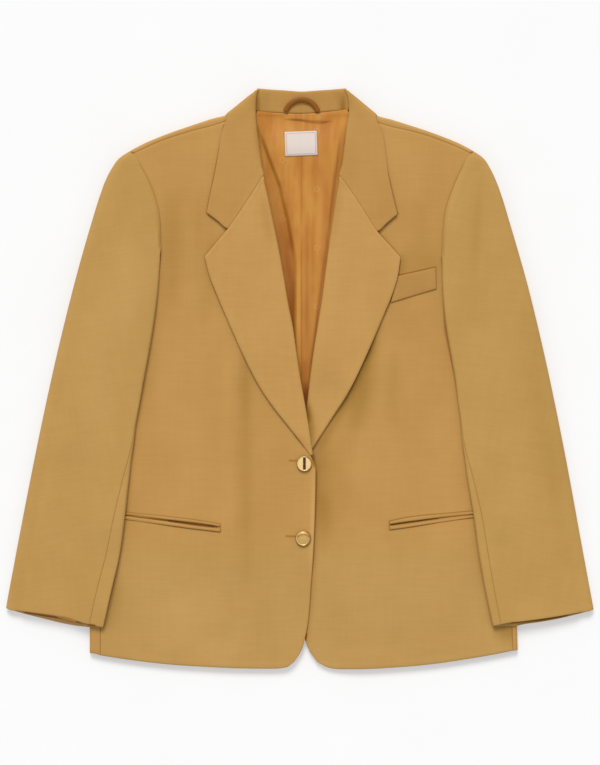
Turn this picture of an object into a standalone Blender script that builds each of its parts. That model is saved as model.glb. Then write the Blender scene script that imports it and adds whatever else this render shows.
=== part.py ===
"""Two-button blazer laid flat on its back, fronts up, sleeves straight beside and partly over it.

Every cut piece is one closed cloth wall, built on a grid of mid-surface points. Sizes are in
millimetres until the meshes are made. X runs to the viewer's right, Y towards the collar and Z
up from the surface that the back lies on. Right and left are the wearer's: the right front, at
the viewer's left, is the one on top. Neighbouring pieces share their seam's points.
"""
import math

import bpy
import numpy as np

MM = 0.001
# How far the tables' origin lies from the middle of the garment's length
SHIFT = 0.145

# Walls and clearances
CLOTH = 1.5
LAPEL = 2.4
COLLAR = 2.0
LINING = 1.0
TRIM = 1.2
SEAM_GAP = 0.4
LAY_GAP = 0.35

# Folds: how far in from the outline each one has turned flat
SIDE_TURN = 4.0
SHOULDER_TURN = 5.5
SLEEVE_TURN = 8.0
INNER_TURN = 3.0
INNER_ARC = 4.5
ROLL = 2.0
ROLL_ROOM = 1.0

CENTRE_BACK = 3.0
UNDERARM = 51.0
FALL_DEPTH = 50.0

# Mid-height of the fronts: level, at the middle, at the sides
FRONT_HEIGHT = (
    (-377, 8.4, 8.0), (-235, 10.2, 8.2), (-92, 12.8, 8.8), (51, 15.2, 9.8),
    (168, 17.5, 14.5), (233, 17.8, 17.0), (295, 16.5, 19.5), (365, 12.5, 18.0),
)
# Soft folds of the fronts: x, lowest level, highest level, half width, height
FRONT_FOLDS = (
    (-71, -300, 43, 15, -1.8), (-93, -290, 40, 12, 1.0), (-135, 60, 210, 16, 0.8),
    (62, -130, 0, 15, -1.8), (90, -200, 30, 14, 1.2), (140, 40, 150, 18, 0.7),
)
# How far the left front sinks below the right one: level, depth
LEFT_SINK = ((-377, 2.1), (-160, 2.1), (-112, 5.2), (-30, 5.2), (25, 0.0), (365, 0.0))
# Lift of the sleeves' under layer over the fronts: level, lift
SLEEVE_LIFT = ((-330, 2.1), (-225, 2.2), (-195, 4.0), (-165, 4.0), (-130, 2.2), (170, 2.1))
# Opening between a sleeve's layers at its inner fold: level, height
SLEEVE_INNER = ((-325, 5.6), (-120, 6.6), (60, 6.0), (140, 3.4), (168, 2.2))
# Mid-height of a sleeve's top layer beside its outer fold: level, height
SLEEVE_OUTER = ((-300, 9.0), (-150, 12.5), (0, 16.5), (107, 19.5), (200, 21.0), (295, 19.7))

# Shares of a front's width, from its side to its front edge
FRONT_COLUMNS = (0, 0.12, 0.25, 0.38, 0.50, 0.61, 0.69, 0.77, 0.87, 0.95, 1)
# Levels of the points on a front's edge, between the hem and the neck
EDGE_LEVELS = (-352, -336, -262, -190, -118, -97, -30, 30, 80, 120, 155, 195, 235, 275, 312)
ARMHOLE_SEEN = (0, 0.03, 0.06, 0.25, 0.45, 0.64, 0.83, 1)
SHOULDER_SEEN = (0, 0.06, 0.53, 1)
SIDE_ROWS = 6
HIDDEN_ROWS = 3
CUFF_ROWS = 8
CAP_ROWS = 6
NECK_COLUMNS = 2
LAPEL_ROWS = 11
LAPEL_COLUMNS = (0, 0.17, 0.33, 0.56, 0.78, 0.985)
WING_ROWS = 5
FALL_ROWS = 3
COLLAR_COLUMNS = (0, 0.2, 0.38, 0.72, 1)
LINING_ROWS = 9
TURN_ANGLES = np.radians((90, 45, 0, -45, -90))
CURL_ANGLES = np.radians((45, 90, 135))

# Sleeves: levels of the outer fold's points above its straight part, the hind seam's distance
# from the outer fold, the reach of the top's face past that fold, and how much the face crowns
STRAIGHT_TOP = 75.0
CAP_LEVELS = (130, 180, 221, 253, 278, 296)
HIND_REACH = 24.0
FACE_REACH = 10.0
CROWN = 1.6
# Where an under sleeve climbs the body's side: reach from the side's edge, out to in
RAMP = (-10.0, -3.2, 2.0)
RAMP_MIDDLE = 0.45
RAMP_ROOM = 0.3
TURN_IN = -9.0
# Cuff: height over which the lower layer droops out from under the upper one
DROOP_TOP = 11.0
DROOP_SPAN = 9.0
# The sleeve lining's low edge and how far it runs up the sleeve
SLEEVE_LINING = ((-350, -303), (-318, -311), (-296, -315))
SLEEVE_LINING_RUN = (6.0, 26.0)

# Lapel: lift towards its outer edge, swell beside the roll and how far up each one grows in
LAPEL_LIFT = 1.9
LAPEL_SWELL = 1.3
LIFT_GROWTH = 0.3
SWELL_GROWTH = 0.35
SWELL_AT = 0.16
SWELL_HALF = 0.14
WING_UP = 0.3

# Collar: its fold at the centre back, its outline's slope at the shoulders and its foot
FOLD_TOP = 373.0
SLOPE = (0.5, 0.86)
FALL_BEND = (50.0, 4.0)
STAND_FEET = ((-54, 347.5), (CENTRE_BACK, 345.5), (62, 349.5))

RIGHT = {
    "sign": -1,
    "side_edge": ((-357, -273), (-324, -273), (-100, -264), (51, -252)),
    "side_wrap": 14.0,
    "shoulder_edge": ((-64, 358), (-98, 339), (-112, 337), (-140, 330), (-180, 315), (-220, 296)),
    "shoulder_seam": ((-61.4, 349), (-102, 330), (-140, 321), (-180, 306), (-213, 290)),
    "armhole_seen": ((-180, 168), (-181, 205), (-188, 238), (-203, 271), (-213, 290)),
    "armhole_hidden": ((-238, 51), (-222, 66), (-202, 96), (-186, 132), (-180, 168)),
    "armhole_back": ((-248, 51), (-222, 80), (-203, 118), (-194, 160), (-192, 205),
                     (-197, 245), (-207, 272), (-215, 289)),
    "front_edge": ((-368, -8), (-361, -2), (-351, 2), (-342, 6), (-280, 14), (-216, 18), (-152, 21),
                   (-118, 21), (-99, 18), (-65, 13), (-35, 8), (17, -1), (61, -7), (91, -13),
                   (150, -23), (238, -41), (264, -47), (292, -50), (333, -56), (349, -58)),
    "hem": ((-259, -358), (-196, -366), (-137, -371), (-84, -375), (-25, -376), (-15, -373),
            (-8, -368)),
    "back_hem": ((3, -328), (-100, -340), (-200, -350), (-269, -355)),
    "outer": ((-298, -382), (-150, -352), (-1, -322), (88, -302), (184, -275), (239, -259),
              (262, -251), (278, -241), (289, -231), (296, -220)),
    "inner": ((-323, -254), (-274, -243), (-235, -234), (-174, -226), (-88, -216), (-1, -201),
              (57, -188), (103, -183), (140, -181), (168, -180)),
    "forearm": ((-323, 21), (-274, 21), (-196, 17), (-156, 13), (-118, 8), (-75, 2),
                (-30, -2), (20, -4), (168, -4)),
    "hind_top": ((-280, 78), (-262, 118), (-240, 160), (-216, 196)),
    "cuff": ((-254, -323), (-272, -318), (-307, -309), (-359, -302), (-382, -298)),
    "cuff_under": ((-254, -324), (-292, -321), (-307, -318), (-346, -308), (-382, -298)),
    "lapel_outer": ((-123, 159), (-110, 116), (-57, -1), (-11, -66), (4, -84), (14, -99)),
    "lapel_foot": -99,
    "roll_starts": (-111, -97),
    "gorge": ((-47, 264), (-64, 237), (-93, 195)),
    "collar_outer": ((-97, 346), (-103, 309), (-107, 280), (-114, 248), (-121, 214)),
    "collar_corner": (-53, 377),
}
LEFT = {
    "sign": 1,
    "side_edge": ((-353, 284), (-318, 283), (-100, 272), (51, 257)),
    "side_wrap": 6.5,
    "shoulder_edge": ((70, 358), (104, 339), (118, 337), (133, 334), (173, 321), (226, 296)),
    "shoulder_seam": ((67.4, 349), (107, 330), (140, 323), (173, 312), (219, 290)),
    "armhole_seen": ((185, 158), (186, 190), (190, 220), (205, 262), (219, 290)),
    "armhole_hidden": ((250, 51), (226, 66), (206, 96), (191, 130), (185, 158)),
    "armhole_back": ((253, 51), (228, 80), (209, 118), (200, 160), (198, 205),
                     (203, 245), (213, 272), (221, 289)),
    "front_edge": ((-368, 24), (-360, 18), (-351, 13), (-342, 10), (-280, 3), (-230, -2), (-190, -5),
                   (-152, -6), (-118, -5), (-99, -2), (-65, 4), (-34, 9), (17, 15), (57, 21),
                   (91, 27), (129, 32), (189, 40), (235, 47), (264, 52), (283, 55), (324, 60),
                   (349, 64)),
    "hem": ((281, -352), (239, -359), (187, -369), (115, -376), (47, -377), (37, -375),
            (24, -368)),
    "back_hem": ((3, -328), (100, -340), (200, -349), (280, -352)),
    "outer": ((-300, 382), (-107, 346), (-1, 325), (107, 300), (181, 279), (242, 261),
              (269, 250), (285, 239), (296, 226)),
    "inner": ((-321, 251), (-274, 241), (-235, 234), (-172, 225), (-118, 216), (-1, 202),
              (77, 190), (124, 186), (158, 185)),
    "forearm": ((-321, 12.5), (-235, 13.5), (-174, 12), (-118, 8), (-75, 2),
                (-30, -2), (20, -4), (168, -4)),
    "hind_top": ((282, 78), (266, 118), (245, 160), (221, 196)),
    "cuff": ((251, -321), (274, -318), (304, -313), (344, -307), (382, -300)),
    "cuff_under": ((251, -322), (274, -320), (313, -317), (346, -311), (382, -300)),
    "lapel_outer": ((131, 158), (128, 136), (118, 104), (72, -1), (40, -54), (17, -90)),
    "lapel_foot": -92,
    "roll_starts": (-135, -105),
    "gorge": ((52, 264), (72, 236), (102, 192)),
    "collar_outer": ((104, 346), (110, 305), (115, 266), (121, 240), (128, 214)),
    "collar_corner": (58, 377),
}

# The lining: its side fold's edge as x and y, its reach under the fronts and its steps
LINING_FOLD = ((-55, 340), (-32, 270), (-17, 209), (-6, 146), (-6, 103), (-8, 40), (-4, -45))
LINING_LOW = -45.0
LINING_TOP = 344.0
LINING_REACH = 22.0
FOLD_STEP = 2.0
PLEAT_STEP = 1.4
PLEAT_HALF = 1.2
PLEAT_START = 260.0
LABEL = 1.0
LABEL_SIZE = (42.0, 32.0)
LABEL_CENTRE = (2.0, 306.0)
LOOP_WIDTH = 41.0
LOOP_RISE = 16.0
LOOP_TUBE = (6.8, 3.0)
LOOP_FOOT = 348.0
LOOP_BOW = 1.4
BUTTON_CENTRES = {"button_upper": (7.0, -110.0), "button_lower": (5.0, -207.0)}
BUTTON_ROOM = 0.25
# The button's outline from its shank up and in over its face: radius, height
BUTTON_PROFILE = (
    (1.6, None), (1.6, 0.0), (8.6, 0.0), (10.2, 0.7), (10.5, 1.6), (10.2, 2.7), (9.4, 3.2),
    (8.6, 3.0), (8.0, 2.4), (5.0, 2.6),
)
SHANK_HOLE = 2.4
HOLE_REACH = 3.0
LOOP_STEPS = 14
TUBE_STEPS = 10
BUTTON_STEPS = 24
HOLE_STEPS = 12
WELT = ((177, 145), (127, 134), (178, 117), (118, 99))
# Pocket lines from the inner end to the outer end: x, top edge, slit, bottom edge
POCKETS = {
    "right": ((-103, -188, -193.5, -200), (-140, -182, -189, -196), (-177, -178, -184.5, -191),
              (-236, -172, -177.5, -182)),
    "left": ((117, -185, -190, -196), (140, -180, -187, -193), (165, -177, -183.5, -189),
             (234, -171, -175.5, -179)),
}
SLIT = 0.7
JET_GAP = 0.55


def smooth(t):
    t = np.clip(t, 0.0, 1.0)
    return t * t * (3.0 - 2.0 * t)


def follow(table, value, column=1):
    """Read a table of rows, rising in their first column, along a smooth curve."""
    rows = np.array(table, dtype=float)
    known, wanted = rows[:, 0], rows[:, column]
    steps = np.diff(wanted) / np.diff(known)
    inner = np.where(steps[1:] * steps[:-1] > 0,
                     2 * steps[1:] * steps[:-1] / (steps[1:] + steps[:-1] + 1e-12), 0.0)
    slopes = np.concatenate((steps[:1], inner, steps[-1:]))
    at = np.clip(np.asarray(value, dtype=float), known[0], known[-1])
    low = np.clip(np.searchsorted(known, at) - 1, 0, len(known) - 2)
    span = known[low + 1] - known[low]
    t = (at - known[low]) / span
    start = wanted[low] * (1 + 2 * t) * (1 - t) ** 2 + slopes[low] * span * t * (1 - t) ** 2
    end = wanted[low + 1] * t * t * (3 - 2 * t) - slopes[low + 1] * span * t * t * (1 - t)
    return start + end


def curve(points, fractions):
    """Points at the given fractions of the length of a smooth curve through `points`."""
    known = np.array(points, dtype=float)
    ends = np.vstack((2 * known[0] - known[1], known, 2 * known[-1] - known[-2]))
    dense = []
    for before, start, end, after in zip(ends, ends[1:], ends[2:], ends[3:]):
        for t in np.linspace(0, 1, 16, endpoint=False):
            dense.append(0.5 * (2 * start + (end - before) * t
                                + (2 * before - 5 * start + 4 * end - after) * t ** 2
                                + (3 * start - before - 3 * end + after) * t ** 3))
    dense = np.array(dense + [known[-1]])
    length = np.concatenate(([0], np.cumsum(np.linalg.norm(np.diff(dense, axis=0), axis=1))))
    at = np.asarray(fractions, dtype=float) * length[-1]
    return np.column_stack([np.interp(at, length, axis) for axis in dense.T])


def even(count):
    return np.linspace(0.0, 1.0, count + 1)


def normals_of(line, sign):
    """Unit normals of a flat line, to the side that `sign` gives."""
    along = np.gradient(np.asarray(line, dtype=float), axis=0)
    across = np.column_stack((-along[:, 1], along[:, 0])) * sign
    return across / np.linalg.norm(across, axis=1)[:, None]


def coons(left, right, bottom, top, across):
    """Fill four edges with a grid: rows go from bottom to top, columns from left to right."""
    rows = len(left)
    s = np.asarray(across, dtype=float)[None, :, None]
    t = even(rows - 1)[:, None, None]
    ruled = (1 - s) * left[:, None] + s * right[:, None]
    crossed = (1 - t) * bottom[None] + t * top[None]
    corners = ((1 - t) * ((1 - s) * bottom[0] + s * bottom[-1])
               + t * ((1 - s) * top[0] + s * top[-1]))
    return ruled + crossed - corners


def with_height(plan, height):
    return np.concatenate((plan, np.asarray(height)[..., None]), axis=-1)


def front_height(x, y):
    """Mid-height of the right front, and of the left one before it sinks."""
    middle = follow(FRONT_HEIGHT, y, 1)
    side = follow(FRONT_HEIGHT, y, 2)
    height = middle + (side - middle) * np.clip(np.abs(x - CENTRE_BACK) / 250, 0, 1) ** 2
    for centre, low, high, half, rise in FRONT_FOLDS:
        ends = smooth((y - low) / 40) * smooth((high - y) / 40)
        height = height + rise * ends * np.exp(-((x - centre) / half) ** 2)
    return height


def panel_height(side, x, y):
    """Mid-height of one side's front panel."""
    height = front_height(x, y)
    if side is LEFT:
        depth = follow(LEFT_SINK, y)
        height = height - depth * smooth((78 - x) / 44)
    return height


def back_height(x, y):
    """Mid-height of the back: flat, and a little raised over the collar's fall."""
    fall_edge = FOLD_TOP - FALL_DEPTH
    raised = smooth((y - fall_edge + 66) / 44) * smooth((138 - np.abs(x - CENTRE_BACK)) / 30)
    return CLOTH / 2 + (COLLAR + LAY_GAP) * raised


def turned(edge, inward, turn, low, high):
    """Points round a fold, from its top to its underside, for each point of the outline."""
    grid = []
    middle, half = (np.asarray(high) + low) / 2, (np.asarray(high) - low) / 2
    for angle in TURN_ANGLES:
        reach = CLOTH / 2 + (turn - CLOTH / 2) * (1 - math.cos(angle))
        grid.append(with_height(edge + inward * reach, middle + half * math.sin(angle)))
    return np.array(grid)


# --- Shared seams -------------------------------------------------------------------------

def side_seam(side):
    """The side fold with the side seam at its end: one row for each level, seam first."""
    levels = np.linspace(side["hem"][0][1], UNDERARM, SIDE_ROWS + 1)
    edge = np.column_stack((follow(side["side_edge"], levels), levels))
    inward = normals_of(edge, side["sign"])
    seam = edge + inward * side["side_wrap"]
    high = panel_height(side, seam[:, 0], seam[:, 1])
    fold = turned(edge, inward, SIDE_TURN, CLOTH / 2, high)
    return np.concatenate((with_height(seam, high)[None], fold)).transpose(1, 0, 2)


def shoulder_seam(side):
    """The shoulder fold with the shoulder seam at its end, from the armhole to the neck."""
    seam = curve(side["shoulder_seam"][::-1], FRONT_COLUMNS)
    edge = curve(side["shoulder_edge"][::-1], FRONT_COLUMNS)
    inward = -normals_of(edge, -side["sign"])
    inward = inward * np.sign(-inward[:, 1])[:, None]
    high = panel_height(side, seam[:, 0], seam[:, 1])
    flat = edge + inward * SHOULDER_TURN
    fold = turned(edge, inward, SHOULDER_TURN, back_height(flat[:, 0], flat[:, 1]), high)
    return np.concatenate((with_height(seam, high)[None], fold))


def armhole(side):
    """The armhole's stretches: hidden front, seen front, over the shoulder, and back."""
    hidden = curve(side["armhole_hidden"], even(HIDDEN_ROWS))
    seen = curve(side["armhole_seen"], ARMHOLE_SEEN)
    fold = side_seam(side)[-1]
    shoulder = shoulder_seam(side)[:, 0]
    lower = curve(side["armhole_back"][:5], even(CAP_ROWS))
    upper = curve(side["armhole_back"][4:], SHOULDER_SEEN)
    back = np.vstack((lower, upper[1:]))
    back[-1] = shoulder[-1, :2]
    back[0] = fold[-1, :2]
    hidden[0] = fold[0, :2]
    return {
        "hidden": with_height(hidden, panel_height(side, hidden[:, 0], hidden[:, 1])),
        "seen": with_height(seen, panel_height(side, seen[:, 0], seen[:, 1])),
        "over": shoulder,
        "back": with_height(back, back_height(back[:, 0], back[:, 1])),
    }


def hind_seam(side, outer, inward, hole):
    """The hind seam on a sleeve's underside, from the cuff up to the back of the armhole."""
    low = outer[:CUFF_ROWS + 1] + inward[:CUFF_ROWS + 1] * HIND_REACH
    top = hole["back"][CAP_ROWS + 1, :2]
    high = curve((low[-1],) + side["hind_top"][1:] + (top,), even(CAP_ROWS))
    return np.vstack((low, high[1:]))


# --- Body panels --------------------------------------------------------------------------

def front_grid(side):
    hole = armhole(side)
    seam = side_seam(side)[:, 0]
    outer = np.vstack((seam[:, :2], hole["hidden"][1:, :2], hole["seen"][1:, :2]))
    edge = side["front_edge"]
    levels = np.array((edge[0][0], *EDGE_LEVELS, edge[-1][0]), dtype=float)
    x = follow(edge, levels) + side["sign"] * roll_room(side, levels)
    inner = np.column_stack((x, levels))
    hem = curve(side["hem"], FRONT_COLUMNS)
    hem[-1] = inner[0]
    hem[0] = outer[0]
    shoulder = shoulder_seam(side)[0][:, :2].copy()
    shoulder[-1] = inner[-1]
    plan = coons(outer, inner, hem, shoulder, FRONT_COLUMNS)
    grid = with_height(plan, panel_height(side, plan[..., 0], plan[..., 1]))
    grid[:SIDE_ROWS + 1, 0] = seam
    grid[-1, :] = shoulder_seam(side)[0]
    return grid


def roll_room(side, levels):
    """How far the front's edge stays inside the lapel's and collar's rolled edge."""
    start, full = side["roll_starts"]
    return (LAPEL + LAY_GAP + ROLL_ROOM) * smooth((np.asarray(levels) - start) / (full - start))


def back_grid(side):
    """The back half: flat, with a flap round the side and another over the shoulder."""
    hole = armhole(side)
    side_fold = side_seam(side)
    shoulder = shoulder_seam(side)[:, ::-1]
    flaps = len(TURN_ANGLES)
    neck = shoulder[-1, 0, :2]
    neckline = curve(((CENTRE_BACK, 349), (neck[0] * 0.55, 350), tuple(neck)), even(NECK_COLUMNS))
    top = np.vstack((neckline, shoulder[-1, 1:, :2]))
    outer = np.vstack((side_fold[:, -1, :2], hole["back"][1:, :2]))
    levels = np.linspace(side["back_hem"][0][1], neckline[0, 1], len(outer))
    centre = np.column_stack((np.full(len(outer), CENTRE_BACK), levels))
    across = np.concatenate(([0, 0.12], 0.24 + 0.76 * (1 - np.array(FRONT_COLUMNS[::-1]))))
    hem = curve(side["back_hem"], across)
    hem[-1] = outer[0]
    plan = coons(centre, outer, hem, top, across)
    rows, columns = plan.shape[0], plan.shape[1]
    grid = np.zeros((rows + flaps, columns + flaps, 3))
    grid[:rows, :columns] = with_height(plan, back_height(plan[..., 0], plan[..., 1]))
    grid[:SIDE_ROWS + 1, columns - 1:] = side_fold[:, ::-1]
    grid[rows - 1:, NECK_COLUMNS:columns] = shoulder[::-1]
    cells = np.zeros((rows + flaps - 1, columns + flaps - 1), dtype=bool)
    cells[:rows - 1, :columns - 1] = True
    cells[:SIDE_ROWS, columns - 1:] = True
    cells[rows - 1:, NECK_COLUMNS:columns - 1] = True
    return grid, cells


# --- Sleeves ------------------------------------------------------------------------------

def sleeve_frame(side):
    """Both edges of a sleeve, row by row from the cuff, with the seams and heights on them."""
    hole = armhole(side)
    rows = CUFF_ROWS + CAP_ROWS
    top = side["inner"][-1][0]
    low_out = np.linspace(side["outer"][0][0], STRAIGHT_TOP, CUFF_ROWS + 1)
    low_in = np.linspace(side["inner"][0][0], UNDERARM, CUFF_ROWS + 1)
    high_in = np.linspace(UNDERARM, top - 5, CAP_ROWS)[1:]
    outer_level = np.concatenate((low_out, CAP_LEVELS))
    inner_level = np.concatenate((low_in, high_in, [top]))
    outer = np.column_stack((follow(side["outer"], outer_level), outer_level))
    inner = np.column_stack((follow(side["inner"], inner_level), inner_level))
    to_body = normals_of(outer, side["sign"])
    to_sleeve = -normals_of(inner, side["sign"])
    under = (panel_height(side, inner[:, 0], inner[:, 1]) + follow(SLEEVE_LIFT, inner_level))
    return {
        "rows": rows, "outer": outer, "inner": inner, "to_body": to_body,
        "to_sleeve": to_sleeve, "inner_low": under,
        "inner_high": under + follow(SLEEVE_INNER, inner_level),
        "outer_high": follow(SLEEVE_OUTER, outer_level),
        "seam": follow(side["forearm"], inner_level),
        "hind": hind_seam(side, outer, to_body, hole), "hole": hole,
    }


def inner_point(frame, row, along):
    """A point of the inner fold's section: `along` is below 0 underneath and above 0 on top."""
    low, high = frame["inner_low"][row], frame["inner_high"][row]
    turn = min(abs(along) / INNER_ARC, 1.0) * math.pi / 2
    reach = CLOTH / 2 + (INNER_TURN - CLOTH / 2) * (1 - math.cos(turn))
    reach += max(abs(along) - INNER_ARC, 0.0)
    height = (low + high) / 2 + math.copysign((high - low) / 2 * math.sin(turn), along)
    plan = frame["inner"][row] + frame["to_sleeve"][row] * reach
    return np.array((plan[0], plan[1], height))


def top_sleeve_grid(side):
    frame = sleeve_frame(side)
    rows = frame["rows"]
    hole = frame["hole"]
    start = np.array([[inner_point(frame, row, frame["seam"][row] + step) for step in (0, 4, 8)]
                      for row in range(rows + 1)])
    fold = turned(frame["outer"], frame["to_body"], SLEEVE_TURN, CLOTH / 2, frame["outer_high"])
    beside = with_height(frame["outer"] + frame["to_body"] * (SLEEVE_TURN + FACE_REACH),
                         frame["outer_high"] + 0.8)
    seen = hole["seen"]
    cuff = curve(side["cuff"], even(5))
    cuff = with_height(cuff, np.linspace(start[0, 2, 2], beside[0, 2], 6))
    cuff[0], cuff[-1] = start[0, 2], beside[0]
    left, right = start[:, 2].copy(), beside.copy()
    left[-1], right[-1] = seen[2], seen[-1]
    face = coons(left, right, cuff, seen[2:], even(5))
    crown = np.sin(math.pi * even(5))[None, :] * smooth(even(rows)[::-1] * 5)[:, None]
    face[..., 2] += CROWN * crown
    hind = with_height(frame["hind"], np.full(rows + 1, CLOTH / 2))
    back = hole["back"]
    under_top = back[[-1, -2, -3]]
    under_cuff = np.array((fold[-1, 0], (fold[-1, 0] + hind[0]) / 2, hind[0]))
    under = coons(fold[-1], hind, under_cuff, under_top, even(2))
    under[..., 2] = np.maximum(under[..., 2], CLOTH / 2)
    grid = np.zeros((rows + 1, 15, 3))
    grid[:, :2] = start[:, :2]
    grid[:, 2:8] = face
    grid[:, 8:13] = fold.transpose(1, 0, 2)
    grid[:, 12:] = under
    grid[-1] = np.vstack((seen, hole["over"][1:], under_top[1:]))
    droop_cuff(grid, side, 8)
    cells = np.ones((rows, 14), dtype=bool)
    cells[rows - 1, :2] = False
    return grid, cells


def droop_cuff(grid, side, first_under):
    """Let the cuff's lower layer reach past the upper one."""
    lower = np.array(sorted(side["cuff_under"]))
    for column in range(first_under, grid.shape[1]):
        x = grid[0, column, 0]
        reach = np.interp(x, lower[:, 0], lower[:, 1])
        low = np.clip((DROOP_TOP - grid[0, column, 2]) / DROOP_SPAN, 0, 1)
        grid[0, column, 1] += (min(reach, grid[0, column, 1]) - grid[0, column, 1]) * low


def under_sleeve_grid(side):
    """The under sleeve: on the ground, over the body's side, on the front and round the fold."""
    frame = sleeve_frame(side)
    rows = frame["rows"]
    hole = frame["hole"]
    toward = -side["sign"]
    grid = np.zeros((rows + 1, 13, 3))
    for row in range(rows + 1):
        hind = frame["hind"][row]
        turn_in = inner_point(frame, row, TURN_IN)
        if row <= CUFF_ROWS:
            ramp = []
            for reach in RAMP:
                share = 0.5
                for _ in range(4):
                    y = hind[1] + (turn_in[1] - hind[1]) * share
                    x = follow(side["side_edge"], y) + toward * reach
                    share = (x - hind[0]) / (turn_in[0] - hind[0])
                ramp.append((float(x), float(y)))
            foot, mid, over = ramp
        else:
            foot = mid = hole["back"][row - CUFF_ROWS, :2]
            level = frame["inner"][row, 1]
            edge = hole["hidden"]
            reach = np.interp(level, edge[:, 1], edge[:, 0])
            over = (side["sign"] * max(abs(reach), abs(turn_in[0]) + 3), level)
        for column, share in enumerate(even(3)):
            plan = hind + (np.array(foot) - hind) * share
            grid[row, column] = (plan[0], plan[1], CLOTH / 2)
        top = side_clear(side, over[0], over[1]) + RAMP_ROOM
        grid[row, 4] = (mid[0], mid[1], CLOTH / 2 + (top - CLOTH / 2) * RAMP_MIDDLE)
        grid[row, 5] = (over[0], over[1], top)
        grid[row, 7] = turn_in
        half = (grid[row, 5] + turn_in) / 2
        half[2] = max(half[2], side_clear(side, half[0], half[1]))
        grid[row, 6] = half
        for column, along in enumerate(np.linspace(TURN_IN, frame["seam"][row], 6)):
            grid[row, 7 + column] = inner_point(frame, row, along)
    droop_cuff(grid, side, 0)
    cells = np.ones((rows, 12), dtype=bool)
    cells[CUFF_ROWS:, 3:5] = False
    cells[rows - 1, 3:] = False
    return grid, cells


def side_clear(side, x, y):
    """Mid-height of a sleeve's under layer where it lies on the front."""
    return float(panel_height(side, x, y) + follow(SLEEVE_LIFT, y))


def sleeve_lining_grid():
    """The end of the right sleeve's lining, lying in the cuff on its lower layer."""
    low = curve(SLEEVE_LINING, even(4))
    high = low + np.array(SLEEVE_LINING_RUN)
    plan = np.array([low + (high - low) * share for share in even(2)])
    return with_height(plan, np.full(plan.shape[:2], CLOTH + LAY_GAP + LINING / 2))


# --- Lapels and collar --------------------------------------------------------------------

def lapel_height(side, x, y, across, up):
    """Mid-height of the lapel: it swells beside the roll and lifts a little at its edge."""
    inside = 1 - across
    lift = LAPEL_LIFT * smooth(inside * 1.6) * smooth(up / LIFT_GROWTH)
    swell = LAPEL_SWELL * np.exp(-((inside - SWELL_AT) / SWELL_HALF) ** 2)
    swell = swell * smooth(up / SWELL_GROWTH)
    return panel_height(side, x, y) + CLOTH / 2 + LAY_GAP + LAPEL / 2 + lift + swell


def lapel_grid(side):
    """The lapel: its face from the outer edge to the roll, then down in front of the roll."""
    foot = side["lapel_foot"]
    levels = foot + (side["gorge"][0][1] - foot) * even(LAPEL_ROWS)
    inset = side["sign"] * (LAPEL / 2)
    roll = np.column_stack((follow(side["front_edge"], levels) + inset, levels))
    outer = curve(side["lapel_outer"][::-1], even(LAPEL_ROWS))
    gorge = curve(side["gorge"][::-1], (0, 0.35, 0.69))
    top = np.vstack((outer[-1], (outer[-1] + gorge[0]) / 2, gorge, roll[-1]))
    shares = np.array(LAPEL_COLUMNS)
    bottom = outer[0] + (roll[0] - outer[0]) * (shares / shares[-1])[:, None]
    plan = coons(outer, roll, bottom, top, shares / shares[-1])
    up = np.broadcast_to(even(LAPEL_ROWS)[:, None], plan.shape[:2])
    across = np.broadcast_to((shares / shares[-1])[None], plan.shape[:2])
    face = with_height(plan, lapel_height(side, plan[..., 0], plan[..., 1], across, up))
    edge = face[:, -1].copy()
    under = panel_height(side, edge[:, 0], edge[:, 1])
    face[:, -1, 0] += side["sign"] * ROLL
    turn = edge.copy()
    turn[:, 0] += side["sign"] * ROLL * 0.3
    turn[:, 2] -= ROLL * 0.3
    drop = edge.copy()
    drop[:, 2] = edge[:, 2] - ROLL
    end = edge.copy()
    end[:, 2] = np.minimum(under, edge[:, 2] - ROLL - 0.6)
    return np.concatenate((face, turn[:, None], drop[:, None], end[:, None]), axis=1)


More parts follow.
